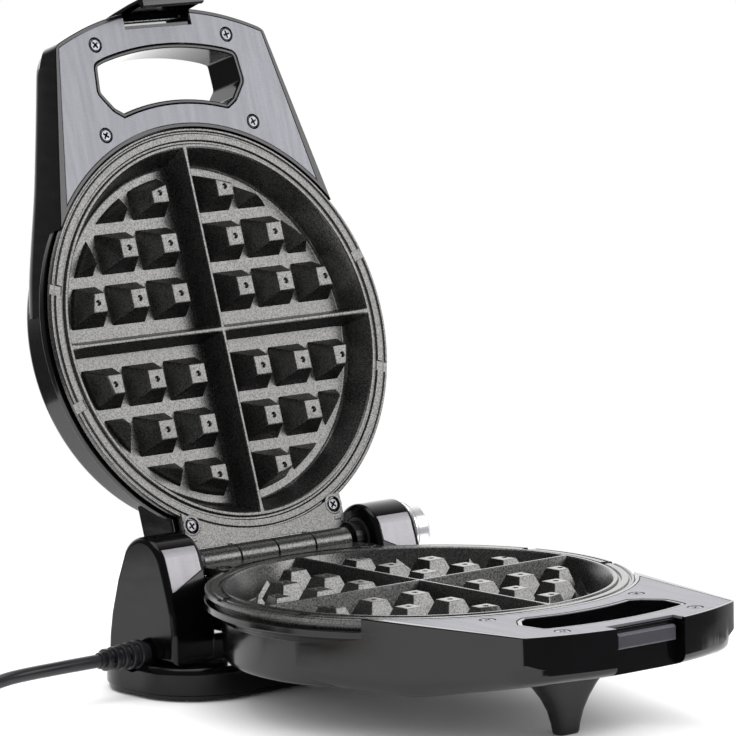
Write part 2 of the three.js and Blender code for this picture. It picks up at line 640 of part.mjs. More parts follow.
part("base_tray", baseTray(), blackPlastic, appliance);
part("base_cover", baseCover(), darkPlastic, appliance);
part("terminal_block", terminalBlock(), bushing, appliance);
let corner = 0;
for (const x of [-60, 60]) {
  for (const y of [-27, 27]) {
    corner += 1;
    part("base_screw_" + corner, panScrew(3.2, 1.2, 9).mirror([0, 0, 1]), steel, appliance)
      .position.set(x, y, 2.55);
    part("base_foot_" + corner, baseFoot(), rubber, appliance)
      .position.set(x + Math.sign(x) * 13, y * 0.72, 0);
  }
}

// The origin is the middle of the appliance's own box, without the cord and what is on it, on the
// surface that it stands on.
appliance.updateMatrixWorld(true);
const middle = new THREE.Box3().setFromObject(appliance).getCenter(new THREE.Vector3());

part("strain_relief", strainRelief(), rubber, appliance).position.z = CORD_EXIT_Z;
part("power_cord", cordTube(CORD_ROUTE, 18), rubber, appliance);
part("cord_coil", cordCoil(), rubber, appliance);
part("cord_tail", cordTube(TAIL_ROUTE, 5), rubber, appliance);
const cordPlug = part("cord_plug", plug(), rubber, appliance);
cordPlug.position.set(...PLUG_PLACE);
cordPlug.rotation.z = degrees(PLUG_TURN);

const waffleMaker = new THREE.Group();
appliance.position.set(-middle.x, -middle.y, 0);
waffleMaker.add(appliance);

export default waffleMaker;
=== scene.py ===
import json
import math

import bmesh
import bpy
from mathutils import Matrix, Vector


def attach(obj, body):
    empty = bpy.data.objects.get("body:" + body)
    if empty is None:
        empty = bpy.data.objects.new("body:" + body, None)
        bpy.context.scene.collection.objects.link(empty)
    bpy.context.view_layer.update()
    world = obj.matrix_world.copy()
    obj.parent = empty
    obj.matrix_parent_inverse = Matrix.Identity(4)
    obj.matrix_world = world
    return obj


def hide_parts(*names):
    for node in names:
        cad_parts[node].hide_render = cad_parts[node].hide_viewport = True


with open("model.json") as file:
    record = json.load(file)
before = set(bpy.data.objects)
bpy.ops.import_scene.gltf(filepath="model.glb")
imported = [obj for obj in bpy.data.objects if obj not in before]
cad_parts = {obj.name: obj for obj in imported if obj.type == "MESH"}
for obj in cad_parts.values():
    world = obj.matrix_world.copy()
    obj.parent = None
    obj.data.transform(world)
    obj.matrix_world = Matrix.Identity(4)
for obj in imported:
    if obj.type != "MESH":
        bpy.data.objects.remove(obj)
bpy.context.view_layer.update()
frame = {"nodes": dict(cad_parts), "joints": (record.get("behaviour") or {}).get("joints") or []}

# ---- Places that come from the frame ----
MM = 0.001
JOINTS = {joint["name"]: joint for joint in frame["joints"]}
AXIS = Vector(JOINTS["flip"]["pos_m"])
AXIS_HEIGHT = AXIS.z / MM
OPEN_TILT = math.pi - math.radians(JOINTS["lid_hinge"]["range_deg"][1])

# Each half has its own frame in millimetres: X is the hinge axis, +Y runs to the handle, z = 0 is
# the mating plane and the body lies below it. ON_AXIS is centred on the hinge axis, GROUND below it
# on the surface that the object stands on.
SCALE = Matrix.Scale(MM, 4)
HALF = {
    "lower": Matrix.Translation(AXIS) @ Matrix.Rotation(math.pi, 4, "Z") @ SCALE,
    "lid": Matrix.Translation(AXIS) @ Matrix.Rotation(OPEN_TILT, 4, "X") @ SCALE,
}
BODY = {"lower": "lower_unit", "lid": "lid"}
ON_AXIS = Matrix.Translation(AXIS) @ SCALE
GROUND = Matrix.Translation((AXIS.x, AXIS.y, 0)) @ SCALE

# ---- Driving dimensions of the looks, in millimetres ----
FACE = -0.25
PLATE_Y = 111
CAVITY_DEPTH = 14
CAVITY_MOUTH = 90.5
CAVITY_FLOOR = 84.5
POST_PITCH = 25
POST_FIRST = 20
POST_BASE = 9.9
POST_TIP = 4.75
POST_TOP = -1.1
FIELD_TOP, FIELD_FOOT = 75, 80.6
KNUCKLES = [(-23, 0), (23, 46)]
HINGE_HALF = 46.6
BARREL_RADIUS = 6.5
FLANGE_HALF = 49
FLANGE_BACK = 9
FLANGE_FOOT = -4.2
FLANGE_SCREW = (43.8, 18.2)
SHELL_DEPTH = 35
WALL = 2.4
LIP_RADIUS = 101.3
LIP_TOP = -6.2
HANDLE_ARC = 150
HANDLE_ARC_Y = 122
HANDLE_CORNER = (64, 257.6)
HANDLE_ROOT = (80.2, 173)
PAN_TANGENT = (91.6, 131)
EDGE_SOFT = 8
HANDLE_SCREWS = [(-40.3, 256.3), (40.3, 256.3), (-45.3, 211.5), (45.3, 211.5)]
TRIM = 1.2
LATCH_HALF = 19
LATCH_AXIS = (268.4, -9)
RECESS_HALF = LATCH_HALF + 1.5
RECESS_FLOOR = 264.6
PAST_FRONT = 290
TOWER_IN, TOWER_OUT = 53.5, 79
TOWER_RADIUS = 16.6
TRAY_TOP = 16.3
TRAY_HALF = (87, 42)
TRAY_CORNER = 34

# ---- Camera ----
CAMERA_FROM_AXIS = Vector((-1.5986, -2.0136, 0.4422))
CAMERA_AZIMUTH, CAMERA_ELEVATION, CAMERA_ROLL = 39.53, 7.834, -1.289
SENSOR_MM, LENS_MM = 36, 263.52


def make_camera():
    a, e, r = (math.radians(v) for v in (CAMERA_AZIMUTH, CAMERA_ELEVATION, CAMERA_ROLL))
    ahead = Vector((math.sin(a) * math.cos(e), math.cos(a) * math.cos(e), -math.sin(e)))
    right = Vector((math.cos(a), -math.sin(a), 0))
    up = right.cross(ahead)
    rolled_right = right * math.cos(r) + up * math.sin(r)
    rolled_up = up * math.cos(r) - right * math.sin(r)
    data = bpy.data.cameras.new("photo_camera")
    data.sensor_width, data.lens = SENSOR_MM, LENS_MM
    data.clip_start, data.clip_end = 0.1, 20
    camera = bpy.data.objects.new("photo_camera", data)
    turn = Matrix((rolled_right, rolled_up, -ahead)).transposed().to_4x4()
    camera.matrix_world = Matrix.Translation(AXIS + CAMERA_FROM_AXIS) @ turn
    bpy.context.scene.collection.objects.link(camera)
    bpy.context.scene.camera = camera


make_camera()


# ---- Node materials ----
# Noise scales are cells a metre and bump depths are metres, because a piece's own coordinates are
# metres too.
def new_material(name):
    material = bpy.data.materials.new(name)
    material.use_nodes = True
    tree = material.node_tree
    return material, tree, tree.nodes["Principled BSDF"]


def add(tree, kind, **settings):
    """A new node, with its sockets and properties set by name."""
    node = tree.nodes.new(kind)
    for key, value in settings.items():
        if key in node.inputs:
            node.inputs[key].default_value = value
        else:
            setattr(node, key, value)
    return node


def local(tree):
    return add(tree, "ShaderNodeTexCoord").outputs["Object"]


def noise(tree, scale, detail=3.0, roughness=0.55, stretch=None):
    made = add(tree, "ShaderNodeTexNoise", Scale=scale, Detail=detail, Roughness=roughness)
    place = local(tree)
    if stretch:
        mapping = add(tree, "ShaderNodeMapping", Scale=stretch)
        tree.links.new(place, mapping.inputs["Vector"])
        place = mapping.outputs["Vector"]
    tree.links.new(place, made.inputs["Vector"])
    return made.outputs["Fac"]


def span(tree, factor, low, high, start=0.0, end=1.0):
    """The factor's stretch from start to end spread over low to high, and held beyond it."""
    made = add(tree, "ShaderNodeMapRange",
               **{"From Min": start, "From Max": end, "To Min": low, "To Max": high})
    tree.links.new(factor, made.inputs["Value"])
    return made.outputs["Result"]


def mixed(tree, factor, first, second):
    """A blend of two colours, each a tuple or an output."""
    made = add(tree, "ShaderNodeMix", data_type="RGBA")
    colour_a, colour_b, colour_out = made.inputs[6], made.inputs[7], made.outputs[2]
    tree.links.new(factor, made.inputs["Factor"])
    for socket, value in ((colour_a, first), (colour_b, second)):
        if isinstance(value, tuple):
            socket.default_value = (*value, 1)
        else:
            tree.links.new(value, socket)
    return colour_out


def toned(colour, factor, lift=0.0):
    return tuple(min(1, c * factor + lift) for c in colour)


def bumps(tree, shader, layers):
    """Bump layers of (height output, depth, strength), one over the other."""
    normal = None
    for height, depth, strength in layers:
        bump = add(tree, "ShaderNodeBump", Strength=strength, Distance=depth)
        tree.links.new(height, bump.inputs["Height"])
        if normal:
            tree.links.new(normal, bump.inputs["Normal"])
        normal = bump.outputs["Normal"]
    tree.links.new(normal, shader.inputs["Normal"])


def dress(tree, shader, base, roughness, layers, **constants):
    """Links a look's colour, roughness and bump layers, and sets its constant sockets."""
    tree.links.new(base, shader.inputs["Base Color"])
    tree.links.new(roughness, shader.inputs["Roughness"])
    bumps(tree, shader, layers)
    for key, value in constants.items():
        shader.inputs[key].default_value = value


def gloss_plastic(name, colour, rough, specular):
    """Polished black moulding: a faint orange peel, dust in patches and fine rub marks."""
    material, tree, shader = new_material(name)
    patches = span(tree, noise(tree, 22, 4), 0, 0.35, 0.4, 0.75)
    dust = noise(tree, 900, 2)
    smears = noise(tree, 60, 5, 0.6, stretch=(1, 1, 4))
    peel = noise(tree, 130, 2)
    base = mixed(tree, patches, colour, toned(colour, 1.5, 0.0006))
    dress(tree, shader, base, span(tree, smears, rough * 0.75, rough * 1.6, 0.3, 0.75),
          [(peel, 0.00006, 0.15), (dust, 0.00001, 0.12)], **{"Specular IOR Level": specular})
    return material


def matt_plastic(name, colour, rough=0.5, scale=1500):
    """Spark-eroded moulding: a fine even grain with slight patches."""
    material, tree, shader = new_material(name)
    grain = noise(tree, scale, 2)
    patches = span(tree, noise(tree, 35, 4), 0, 1, 0.35, 0.7)
    base = mixed(tree, patches, colour, toned(colour, 1.35, 0.003))
    dress(tree, shader, base, span(tree, grain, rough * 0.85, min(1, rough * 1.2)),
          [(grain, 0.00006, 0.35)])
    return material


def silver_paint(name, colour, rough=0.5):
    """Satin silver plate: fine metallic flake, faint brushing and soft variation."""
    material, tree, shader = new_material(name)
    flake = noise(tree, 2600, 2)
    cloud = noise(tree, 9, 3)
    brush = noise(tree, 420, 3, 0.6, stretch=(1, 0.06, 0.06))
    lighter = toned(colour, 1.12)
    base = mixed(tree, span(tree, flake, 0, 1, 0.3, 0.7), toned(colour, 0.86), lighter)
    base = mixed(tree, span(tree, cloud, 0, 0.2, 0.35, 0.7), base, lighter)
    dress(tree, shader, base, span(tree, brush, rough * 0.95, rough * 1.08, 0.3, 0.7),
          [(brush, 0.000005, 0.04), (flake, 0.000008, 0.10)], Metallic=0.75)
    return material


def cast_coating(name):
    """Non-stick coating on cast aluminium: a pebbled dark film with a soft sheen and pale specks."""
    material, tree, shader = new_material(name)
    pebble = noise(tree, 1150, 3, 0.62)
    coarse = noise(tree, 260, 3, 0.5)
    cloud = noise(tree, 16, 4)
    film, speck, worn = (0.06, 0.06, 0.062), (0.16, 0.157, 0.152), (0.08, 0.078, 0.077)
    base = mixed(tree, span(tree, pebble, 0, 1, 0.38, 0.62), film, speck)
    base = mixed(tree, span(tree, cloud, 0, 0.35, 0.35, 0.7), base, worn)
    dress(tree, shader, base, span(tree, pebble, 0.24, 0.34, 0.3, 0.75),
          [(coarse, 0.00012, 0.1), (pebble, 0.0001, 0.3)], Metallic=0.92)
    return material


def metal(name, colour, rough=0.25, brushed=(1, 1, 1), grain=0.12):
    """Bare metal with brush marks, longest where brushed is smallest, and slight tarnish."""
    material, tree, shader = new_material(name)
    brush = noise(tree, 500, 3, 0.6, stretch=brushed)
    tarnish = span(tree, noise(tree, 40, 4), 0, 1, 0.35, 0.7)
    base = mixed(tree, tarnish, colour, toned(colour, 0.8))
    dress(tree, shader, base, span(tree, brush, rough * 0.7, rough * 1.4, 0.3, 0.7),
          [(brush, 0.00002, grain)], Metallic=1)
    return material


def rubber(name, colour, rough):
    """Soft rubber or PVC: a fine grain under a patchy pale bloom."""
    material, tree, shader = new_material(name)
    grain = noise(tree, 1800, 2)
    bloom = noise(tree, 45, 5)
    base = mixed(tree, span(tree, bloom, 0, 1, 0.4, 0.75), colour, toned(colour, 1.7, 0.004))
    dress(tree, shader, base, span(tree, bloom, rough * 0.8, min(1, rough * 1.3), 0.3, 0.7),
          [(grain, 0.00005, 0.3)])
    return material


def lens(name, colour):
    """A tinted lamp lens with a fine cell pattern inside."""
    material, tree, shader = new_material(name)
    cells = add(tree, "ShaderNodeTexVoronoi", Scale=1100)
    tree.links.new(local(tree), cells.inputs["Vector"])
    edges = cells.outputs["Distance"]
    base = mixed(tree, span(tree, edges, 0, 1, 0, 0.6), colour, toned(colour, 0.45))
    tree.links.new(base, shader.inputs["Base Color"])
    shader.inputs["Roughness"].default_value = 0.12
    shader.inputs["Coat Weight"].default_value = 0.6
    bumps(tree, shader, [(edges, 0.0001, 0.35)])
    return material


GLOSS = gloss_plastic("gloss_black_plastic", (0.002, 0.0021, 0.0026), 0.12, 0.42)
BASE_BLACK = gloss_plastic("base_black_plastic", (0.0015, 0.0016, 0.002), 0.14, 0.26)
DARK = matt_plastic("dark_plastic", (0.012, 0.012, 0.013))
NATURAL = matt_plastic("natural_moulding", (0.52, 0.50, 0.42), 0.55, 900)
SILVER = silver_paint("silver_trim", (0.25, 0.25, 0.275))
# Painted light: the tower trims get a lighter copy of the handle plates' silver. Its raised colour stands in
# for light that their faces don't catch.
TRIM_SILVER_PAINTED_LIGHT = silver_paint("tower_trim_silver_painted_light", (0.36, 0.345, 0.37))
CATCH_METAL = silver_paint("catch_metal", (0.10, 0.10, 0.115), 0.4)
PEARL = silver_paint("pearl_silver", (0.78, 0.78, 0.80), 0.22)
COATING = cast_coating("cast_coating")
STEEL = metal("steel", (0.55, 0.55, 0.57), 0.28)
SCREW = metal("screw_steel", (0.22, 0.22, 0.24), 0.3)
DARK_STEEL = metal("dark_steel", (0.07, 0.07, 0.075), 0.42)
BRASS = metal("plug_brass", (0.72, 0.55, 0.28), 0.2)
SHEET = metal("reflector_sheet", (0.72, 0.72, 0.74), 0.2, brushed=(1, 0.1, 1))
SHEATH = metal("element_sheath", (0.22, 0.20, 0.18), 0.5, grain=0.4)
RUBBER = rubber("foot_rubber", (0.014, 0.014, 0.015), 0.6)
CORD_SKIN = rubber("cord_sheath", (0.009, 0.009, 0.011), 0.36)
RED = lens("red_lens", (0.45, 0.012, 0.012))
GREEN = lens("green_lens", (0.02, 0.30, 0.05))


# ---- Mesh tools ----
def arc(cx, cy, radius, start, end, steps):
    points = []
    for i in range(steps + 1):
        angle = math.radians(start + (end - start) * i / steps)
        points.append((cx + radius * math.cos(angle), cy + radius * math.sin(angle)))
    return points


def mirrored(points):
    return [(-x, y) for x, y in points][::-1]


def area_of(outline):
    return sum(a[0] * b[1] - b[0] * a[1] for a, b in zip(outline, outline[1:] + outline[:1])) / 2


def inset(outline, distance):
    """A closed outline moved inwards by a distance."""
    if abs(distance) < 1e-9:
        return [tuple(p[:2]) for p in outline]
    if area_of(outline) < 0:
        outline = outline[::-1]
    moved = []
    for i, point in enumerate(outline):
        here = Vector(point[:2])
        before = (Vector(outline[i - 1][:2]) - here).normalized()
        after = (Vector(outline[(i + 1) % len(outline)][:2]) - here).normalized()
        inward = Vector((-after.y, after.x)) + Vector((before.y, -before.x))
        inward.normalize()
        reach = distance / max(0.25, inward.dot(Vector((-after.y, after.x))))
        moved.append(tuple(here + inward * reach))
    return moved


def rounded(points, radius, steps=4, closed=True):
    """Every corner turned into a small curve; radius is one number or one for each point."""
    made = []
    for i, point in enumerate(points):
        size = radius[i] if hasattr(radius, "__len__") else radius
        here = Vector(point)
        if size <= 0 or (not closed and i in (0, len(points) - 1)):
            made.append(tuple(here))
            continue
        back = Vector(points[i - 1]) - here
        ahead = Vector(points[(i + 1) % len(points)]) - here
        angle = back.angle(ahead)
        if angle > math.radians(174):
            made.append(tuple(here))
            continue
        reach = min(size / math.tan(angle / 2), 0.46 * back.length, 0.46 * ahead.length)
        start, end = here + back.normalized() * reach, here + ahead.normalized() * reach
        for k in range(steps + 1):
            t = k / steps
            made.append(tuple(start * (1 - t) ** 2 + here * (2 * t * (1 - t)) + end * t ** 2))
    return made


def loft(rings, ring_loop=False, caps=True):
    """Quads between rings of equal length; ring_loop joins the last ring to the first."""
    bm = bmesh.new()
    rows = [[bm.verts.new(p) for p in ring] for ring in rings]
    pairs = list(zip(rows, rows[1:])) + ([(rows[-1], rows[0])] if ring_loop else [])
    count = len(rows[0])
    for low, high in pairs:
        for i in range(count):
            j = (i + 1) % count
            bm.faces.new((low[i], low[j], high[j], high[i]))
    if caps and not ring_loop:
        bm.faces.new(rows[0][::-1])
        bm.faces.new(rows[-1])
    bmesh.ops.remove_doubles(bm, verts=bm.verts, dist=1e-5)
    bmesh.ops.recalc_face_normals(bm, faces=bm.faces)
    return bm


AXIS_TURN = {
    "z": Matrix.Identity(4),
    "x": Matrix(((0, 0, 1, 0), (1, 0, 0, 0), (0, 1, 0, 0), (0, 0, 0, 1))),
    "y": Matrix(((1, 0, 0, 0), (0, 0, -1, 0), (0, 1, 0, 0), (0, 0, 0, 1))),
}


def turned(profile, segments=64, along="z", centre=(0, 0, 0)):
    """A profile of (radius, level) turned about an axis, closed on the axis or on itself."""
    open_ends = profile[0][0] < 1e-9 and profile[-1][0] < 1e-9
    rings = []
    for radius, level in profile:
        angles = [2 * math.pi * k / segments for k in range(segments)]
        rings.append([(radius * math.cos(a), radius * math.sin(a), level) for a in angles])
    bm = loft(rings, ring_loop=not open_ends, caps=False)
    bm.transform(Matrix.Translation(centre) @ AXIS_TURN[along])
    bmesh.ops.recalc_face_normals(bm, faces=bm.faces)
    return bm


def prism(outline, low, high, along="z", edge=0.0, steps=3, edge_low=None):
    """An extruded outline whose two rims are rounded by edge (and edge_low at the low end)."""
    if area_of(outline) < 0:
        outline = outline[::-1]
    edge_low = edge if edge_low is None else edge_low

    def rim(level, size, sign):
        if size <= 0:
            return [[(x, y, level) for x, y in outline]]
        rings = []
        for k in range(steps + 1):
            a = math.pi / 2 * k / steps
            shrink, rise = size * (1 - math.sin(a)), size * (1 - math.cos(a))
            rings.append([(x, y, level + sign * rise) for x, y in inset(outline, shrink)])
        return rings

    bm = loft(rim(low, edge_low, 1) + rim(high, edge, -1)[::-1])
    bm.transform(AXIS_TURN[along])
    bmesh.ops.recalc_face_normals(bm, faces=bm.faces)
    return bm


def box(x0, x1, y0, y1, z0, z1, edge=0.0):
    return prism([(x0, y0), (x1, y0), (x1, y1), (x0, y1)], z0, z1, edge=edge)


def rod(radius, low, high, along="z", centre=(0, 0, 0), edge=0.0, segments=32):
    profile = [(0, low), (radius, low), (radius, high), (0, high)]
    return turned(rounded(profile, edge, 3, closed=False) if edge else profile, segments, along, centre)


def moved(bm, x=0, y=0, z=0):
    bm.transform(Matrix.Translation((x, y, z)))
    return bm


def reflected(bm):
    bm.transform(Matrix.Scale(-1, 4, (1, 0, 0)))
    bmesh.ops.reverse_faces(bm, faces=bm.faces)
    return bm


def joined(*parts):
    """Separate shells gathered into one mesh."""
    mesh = bpy.data.meshes.new("gather")
    bm = bmesh.new()
    for piece in parts:
        piece.to_mesh(mesh)
        bm.from_mesh(mesh)
        piece.free()
    bpy.data.meshes.remove(mesh)
    return bm


def combine(first, second, operation):
    """A boolean of two closed meshes; both are used up."""
    objects = []
    for bm in (first, second):
        mesh = bpy.data.meshes.new("operand")
        bm.to_mesh(mesh)
        bm.free()
        thing = bpy.data.objects.new("operand", mesh)
        bpy.context.scene.collection.objects.link(thing)
        objects.append(thing)
    modifier = objects[0].modifiers.new("cut", "BOOLEAN")
    modifier.operation, modifier.solver, modifier.object = operation, "MANIFOLD", objects[1]
    graph = bpy.context.evaluated_depsgraph_get()
    result = bmesh.new()
    result.from_object(objects[0], graph)
    for thing in objects:
        mesh = thing.data
        bpy.data.objects.remove(thing)
        bpy.data.meshes.remove(mesh)
    return result


def union(*parts):
    result = parts[0]
    for piece in parts[1:]:
        result = combine(result, piece, "UNION")
    return result


def cut(first, *others):
    for piece in others:
        first = combine(first, piece, "DIFFERENCE")
    return first


def common(first, second):
    return combine(first, second, "INTERSECT")


SHARP = 32
CORNERS = ((-1, -1), (1, -1), (1, 1), (-1, 1))


def make_piece(bm, name, where, body, material, replaces=(), sharp=SHARP):
    """Puts a mesh in the frame, shades it and ties it to its body, slot and CAD nodes."""
    bm.transform(where)
    for face in bm.faces:
        face.smooth = True
    limit = math.radians(sharp)
    for line in bm.edges:
        if len(line.link_faces) == 2 and line.calc_face_angle(0) > limit:
            line.smooth = False
    mesh = bpy.data.meshes.new(name)
    bm.to_mesh(mesh)
    bm.free()
    mesh.materials.append(material)
    piece = bpy.data.objects.new(name, mesh)
    bpy.context.scene.collection.objects.link(piece)
    flatten = piece.modifiers.new("flat_faces", "WEIGHTED_NORMAL")
    flatten.keep_sharp = True
    flatten.weight = 80
    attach(piece, body)
    if replaces:
        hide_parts(*replaces)
    return piece


def half_piece(bm, half, name, material, nodes, sharp=SHARP):
    """A piece of one half, whose name and CAD nodes' names start with the half's."""
    replaced = [f"{half}_{node}" for node in nodes]
    make_piece(bm, f"{half}_{name}", HALF[half], BODY[half], material, replaced, sharp)


# ---- Power cord ----
# The route repeats the CAD points, in millimetres from the foot of the hinge axis. The coil runs
# inwards on the worktop, climbs, and runs outwards again on top of itself.
CORD_RADIUS = 3.2
CORD_EXIT = (-106.3, 0, 20)
CORD_ROUTE = [
    (-106.3, 0, 20), (-113, 0, 20), (-120, 0, 19.95), (-127, 0, 19.9), (-134, 0, 19.8), (-140, 0, 19.7),
    (-145, 0.05, 19.6), (-150, 0.15, 19.4), (-155, 0.45, 19.1), (-159, 1, 18.6), (-164, 2.1, 17.5),
    (-169, 3.6, 16.1), (-174, 5.5, 14.4), (-178.6, 7.8, 12.5), (-183, 10.4, 10.8), (-187.3, 13.3, 9.1),
    (-191.2, 16.6, 7.6), (-196.3, 22.6, 5.9), (-200.1, 27.2, 5), (-203.6, 31.3, 4.5), (-208, 36.6, 4.2),
    (-213, 42.6, 4.1)]
TAIL_ROUTE = [
    (-291.05, 18, 10.4), (-291.1, 11.5, 9.8), (-291.15, 5.4, 8.9), (-291.1, -0.6, 8.1), (-291, -5, 7.4),
    (-290.5, -9.6, 7.1), (-289.8, -14, 7.4), (-289, -18.2, 8), (-288.3, -22, 8.5), (-287.8, -25, 8.7)]
COIL_CENTRE = Vector((-250.5, 24.3))
COIL_RADIUS = 40.5
COIL_PITCH = 6.7
COIL_LEVELS = (4.1, 10.7)
COIL_START, COIL_END = 40, 180 + 3 * 360
COIL_CLIMB = 130
COIL_STEP = 15
PLUG_PLACE = (-284.78, -43.05, 8.7)
PLUG_TURN = 99.5


def smooth_step(t):
    t = max(0.0, min(1.0, t))
    return t * t * (3 - 2 * t)


def coil_points():
    climb_start = COIL_START + (COIL_END - COIL_START - COIL_CLIMB) / 2
    inner = COIL_RADIUS - COIL_PITCH * (climb_start - COIL_START) / 360
    points = []
    angle = COIL_START
    while angle <= COIL_END + 1e-6:
        before = COIL_RADIUS - COIL_PITCH * (angle - COIL_START) / 360
        after = inner + COIL_PITCH * (angle - climb_start - COIL_CLIMB) / 360
        radius = max(before, inner) if angle < climb_start + COIL_CLIMB else max(after, inner)
        rise = smooth_step((angle - climb_start) / COIL_CLIMB)
        level = COIL_LEVELS[0] + (COIL_LEVELS[1] - COIL_LEVELS[0]) * rise
        a = math.radians(angle)
        points.append((*(COIL_CENTRE + radius * Vector((math.cos(a), math.sin(a)))), level))
        angle += COIL_STEP
    return points


def to_row(points):
    return [GROUND @ Vector(p) for p in points]


def make_cord():
    route = to_row(CORD_ROUTE + coil_points() + TAIL_ROUTE)
    data = bpy.data.curves.new("power_cord_sheath", "CURVE")
    data.dimensions = "3D"
    data.bevel_depth = CORD_RADIUS * MM
    data.bevel_resolution = 6
    data.resolution_u = 5
    data.use_fill_caps = True
    spline = data.splines.new("NURBS")
    spline.points.add(len(route) - 1)
    for point, place in zip(spline.points, route):
        point.co = (*place, 1)
    spline.order_u = 4
    spline.use_endpoint_u = True
    data.materials.append(CORD_SKIN)
    sheath = bpy.data.objects.new("power_cord_sheath", data)
    bpy.context.scene.collection.objects.link(sheath)
    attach(sheath, "base")
    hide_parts("power_cord", "cord_coil", "cord_tail")
    return sheath


def make_tie():
    """A soft strap round the coil's whole bundle."""
    angle = math.radians(215)
    inner, outer, low, high = 26.6, 44.0, 0.15, 14.0
    section = rounded([(inner, low), (outer, low), (outer, high), (inner, high)], 4.5, 6)
    out = Vector((math.cos(angle), math.sin(angle), 0))
    side = Vector((-out.y, out.x, 0))
    centre = Vector((*COIL_CENTRE, 0))
    rings = []
    for offset, grow in ((-5.5, 0), (-5.5, 0.7), (5.5, 0.7), (5.5, 0)):
        ring = []
        for r, z in inset(section, 0.7 - grow):
            ring.append(centre + out * r + side * offset + Vector((0, 0, z)))
        rings.append(ring)
    return make_piece(loft(rings, ring_loop=True), "cord_tie", GROUND, "base", RUBBER)


def make_plug():
    """A moulded two-pin plug: waisted body with grip ribs, a ribbed neck and two flat brass pins."""
    stations = [
        (-14, 9.6, 8.5, 2.2), (-13.2, 9.6, 8.5, 3.2), (-4, 9.3, 8.3, 3.4), (2, 8.6, 7.6, 3.6),
        (6, 8, 6.9, 3.6), (10, 6.6, 6, 3.6), (13.5, 5.4, 5.2, 3.8), (16.6, 4.9, 4.8, 4), (18, 4.4, 4.4, 4)]
    rings = []
    for x, wide, tall, corner in stations:
        outline = rounded([(-wide, -tall), (wide, -tall), (wide, tall), (-wide, tall)], corner, 5)
        rings.append([(x, y, z) for y, z in outline])
    rings.insert(0, [(-14.6, y * 0.86, z * 0.86) for _, y, z in rings[0]])
    body = loft(rings)
    ribs = []
    for k in range(5):
        x = -2.5 + k * 2.6
        wide = 8.9 - max(0, x) * 0.16
        for side in (-1, 1):
            ribs.append(box(x - 0.55, x + 0.55, side * wide - 0.8, side * wide + 0.8, -4.2, 4.2, edge=0.3))
    body = union(body, joined(*ribs))
    for x in (12.9, 16.7):
        groove = [(3.4, x - 0.45), (6.4, x - 0.45), (6.4, x + 0.45), (3.4, x + 0.45)]
        body = cut(body, turned(groove, 32, "x"))
    place = GROUND @ Matrix.Translation(PLUG_PLACE) @ Matrix.Rotation(math.radians(PLUG_TURN), 4, "Z")
    moulding = make_piece(body, "plug_moulding", place, "base", CORD_SKIN,
                          replaces=("cord_plug",))
    pins = []
    for y in (-6.35, 6.35):
        outline = rounded([(-31, -3.1), (-13, -3.1), (-13, 3.1), (-31, 3.1)], (1.6, 0, 0, 1.6), 4)
        pin = prism(outline, y - 0.75, y + 0.75, edge=0.2)
        pin.transform(Matrix.Translation((0, y, 0)) @ Matrix.Rotation(math.pi / 2, 4, "X")
                      @ Matrix.Translation((0, 0, -y)))
        hole = rod(1.3, -12, 12, "y", (-27, 0, 0), segments=20)
        pins.append(cut(pin, hole))
    blades = make_piece(joined(*pins), "plug_pins", place, "base", BRASS)
    return moulding, blades


def make_strain_relief():
    """A tapered, segmented sleeve: chunky ribs joined by a thinner core, over the tray's edge."""
    profile = [(0, 74.7), (7.5, 74.7), (7.5, 76), (5.7, 76.2), (5.7, 81)]
    rib_starts = [81.4 + i * 4.7 for i in range(5)]
    for i, start in enumerate(rib_starts):
        radius = 7 - i * 0.42
        core, end = radius - 1.7, start + 3
        profile += rounded([(core, start), (radius, start), (radius, end), (core, end)],
                           (0, 0.8, 0.8, 0), 3, closed=False)
    profile += [(3.9, 104.6), (3.9, 105.8), (3.3, 106), (0, 106)]
    sleeve = turned(profile, 40, "x")
    slots = []
    for i, start in enumerate(rib_starts):
        for opposite in (0, 2):
            slot = box(start + 3.1, start + 4.6, -1.5, 1.5, 2.5, 9)
            slot.transform(Matrix.Rotation(math.radians(90 * ((opposite + i) % 4)), 4, "X"))
            slots.append(slot)
    sleeve = reflected(cut(sleeve, joined(*slots)))
    moved(sleeve, z=CORD_EXIT[2])
    return make_piece(sleeve, "cord_sleeve", GROUND, "base", CORD_SKIN,
                      replaces=("strain_relief",))


cord_sheath = make_cord()
cord_tie = make_tie()
plug_moulding, plug_pins = make_plug()
cord_sleeve = make_strain_relief()


# ---- Cast grid plates ----
def about_plate(bm):
    return moved(bm, y=PLATE_Y)


def dish():
    """The round cavity with its mouth bead, two fine grooves and the rolled outer rim."""
    profile = [
        (0, -16.5), (87.3, -16.5), (92, -7.5), (96.5, -7.5), (96.5, -3.35), (100.8, -3.35), (100.8, -1.3),
        (100.2, -0.75), (99.3, -0.75), (98.8, -1.6), (98.1, -1.6), (97.6, -0.6), (94.5, -0.6), (94, -1.7),
        (93, -1.7), (92.5, FACE), (91.1, FACE), (CAVITY_MOUTH, -0.9), (CAVITY_FLOOR, -CAVITY_DEPTH),
        (0, -CAVITY_DEPTH)]
    soft = [0, 1, 1, 0.4, 0.4, 0.4, 0.35, 0.3, 0.3, 0.15, 0.15, 0.3, 0.3, 0.2, 0.2, 0.35, 0.35, 0.8, 2.2, 0]
    return turned(rounded(profile, soft, 3, closed=False), 160)


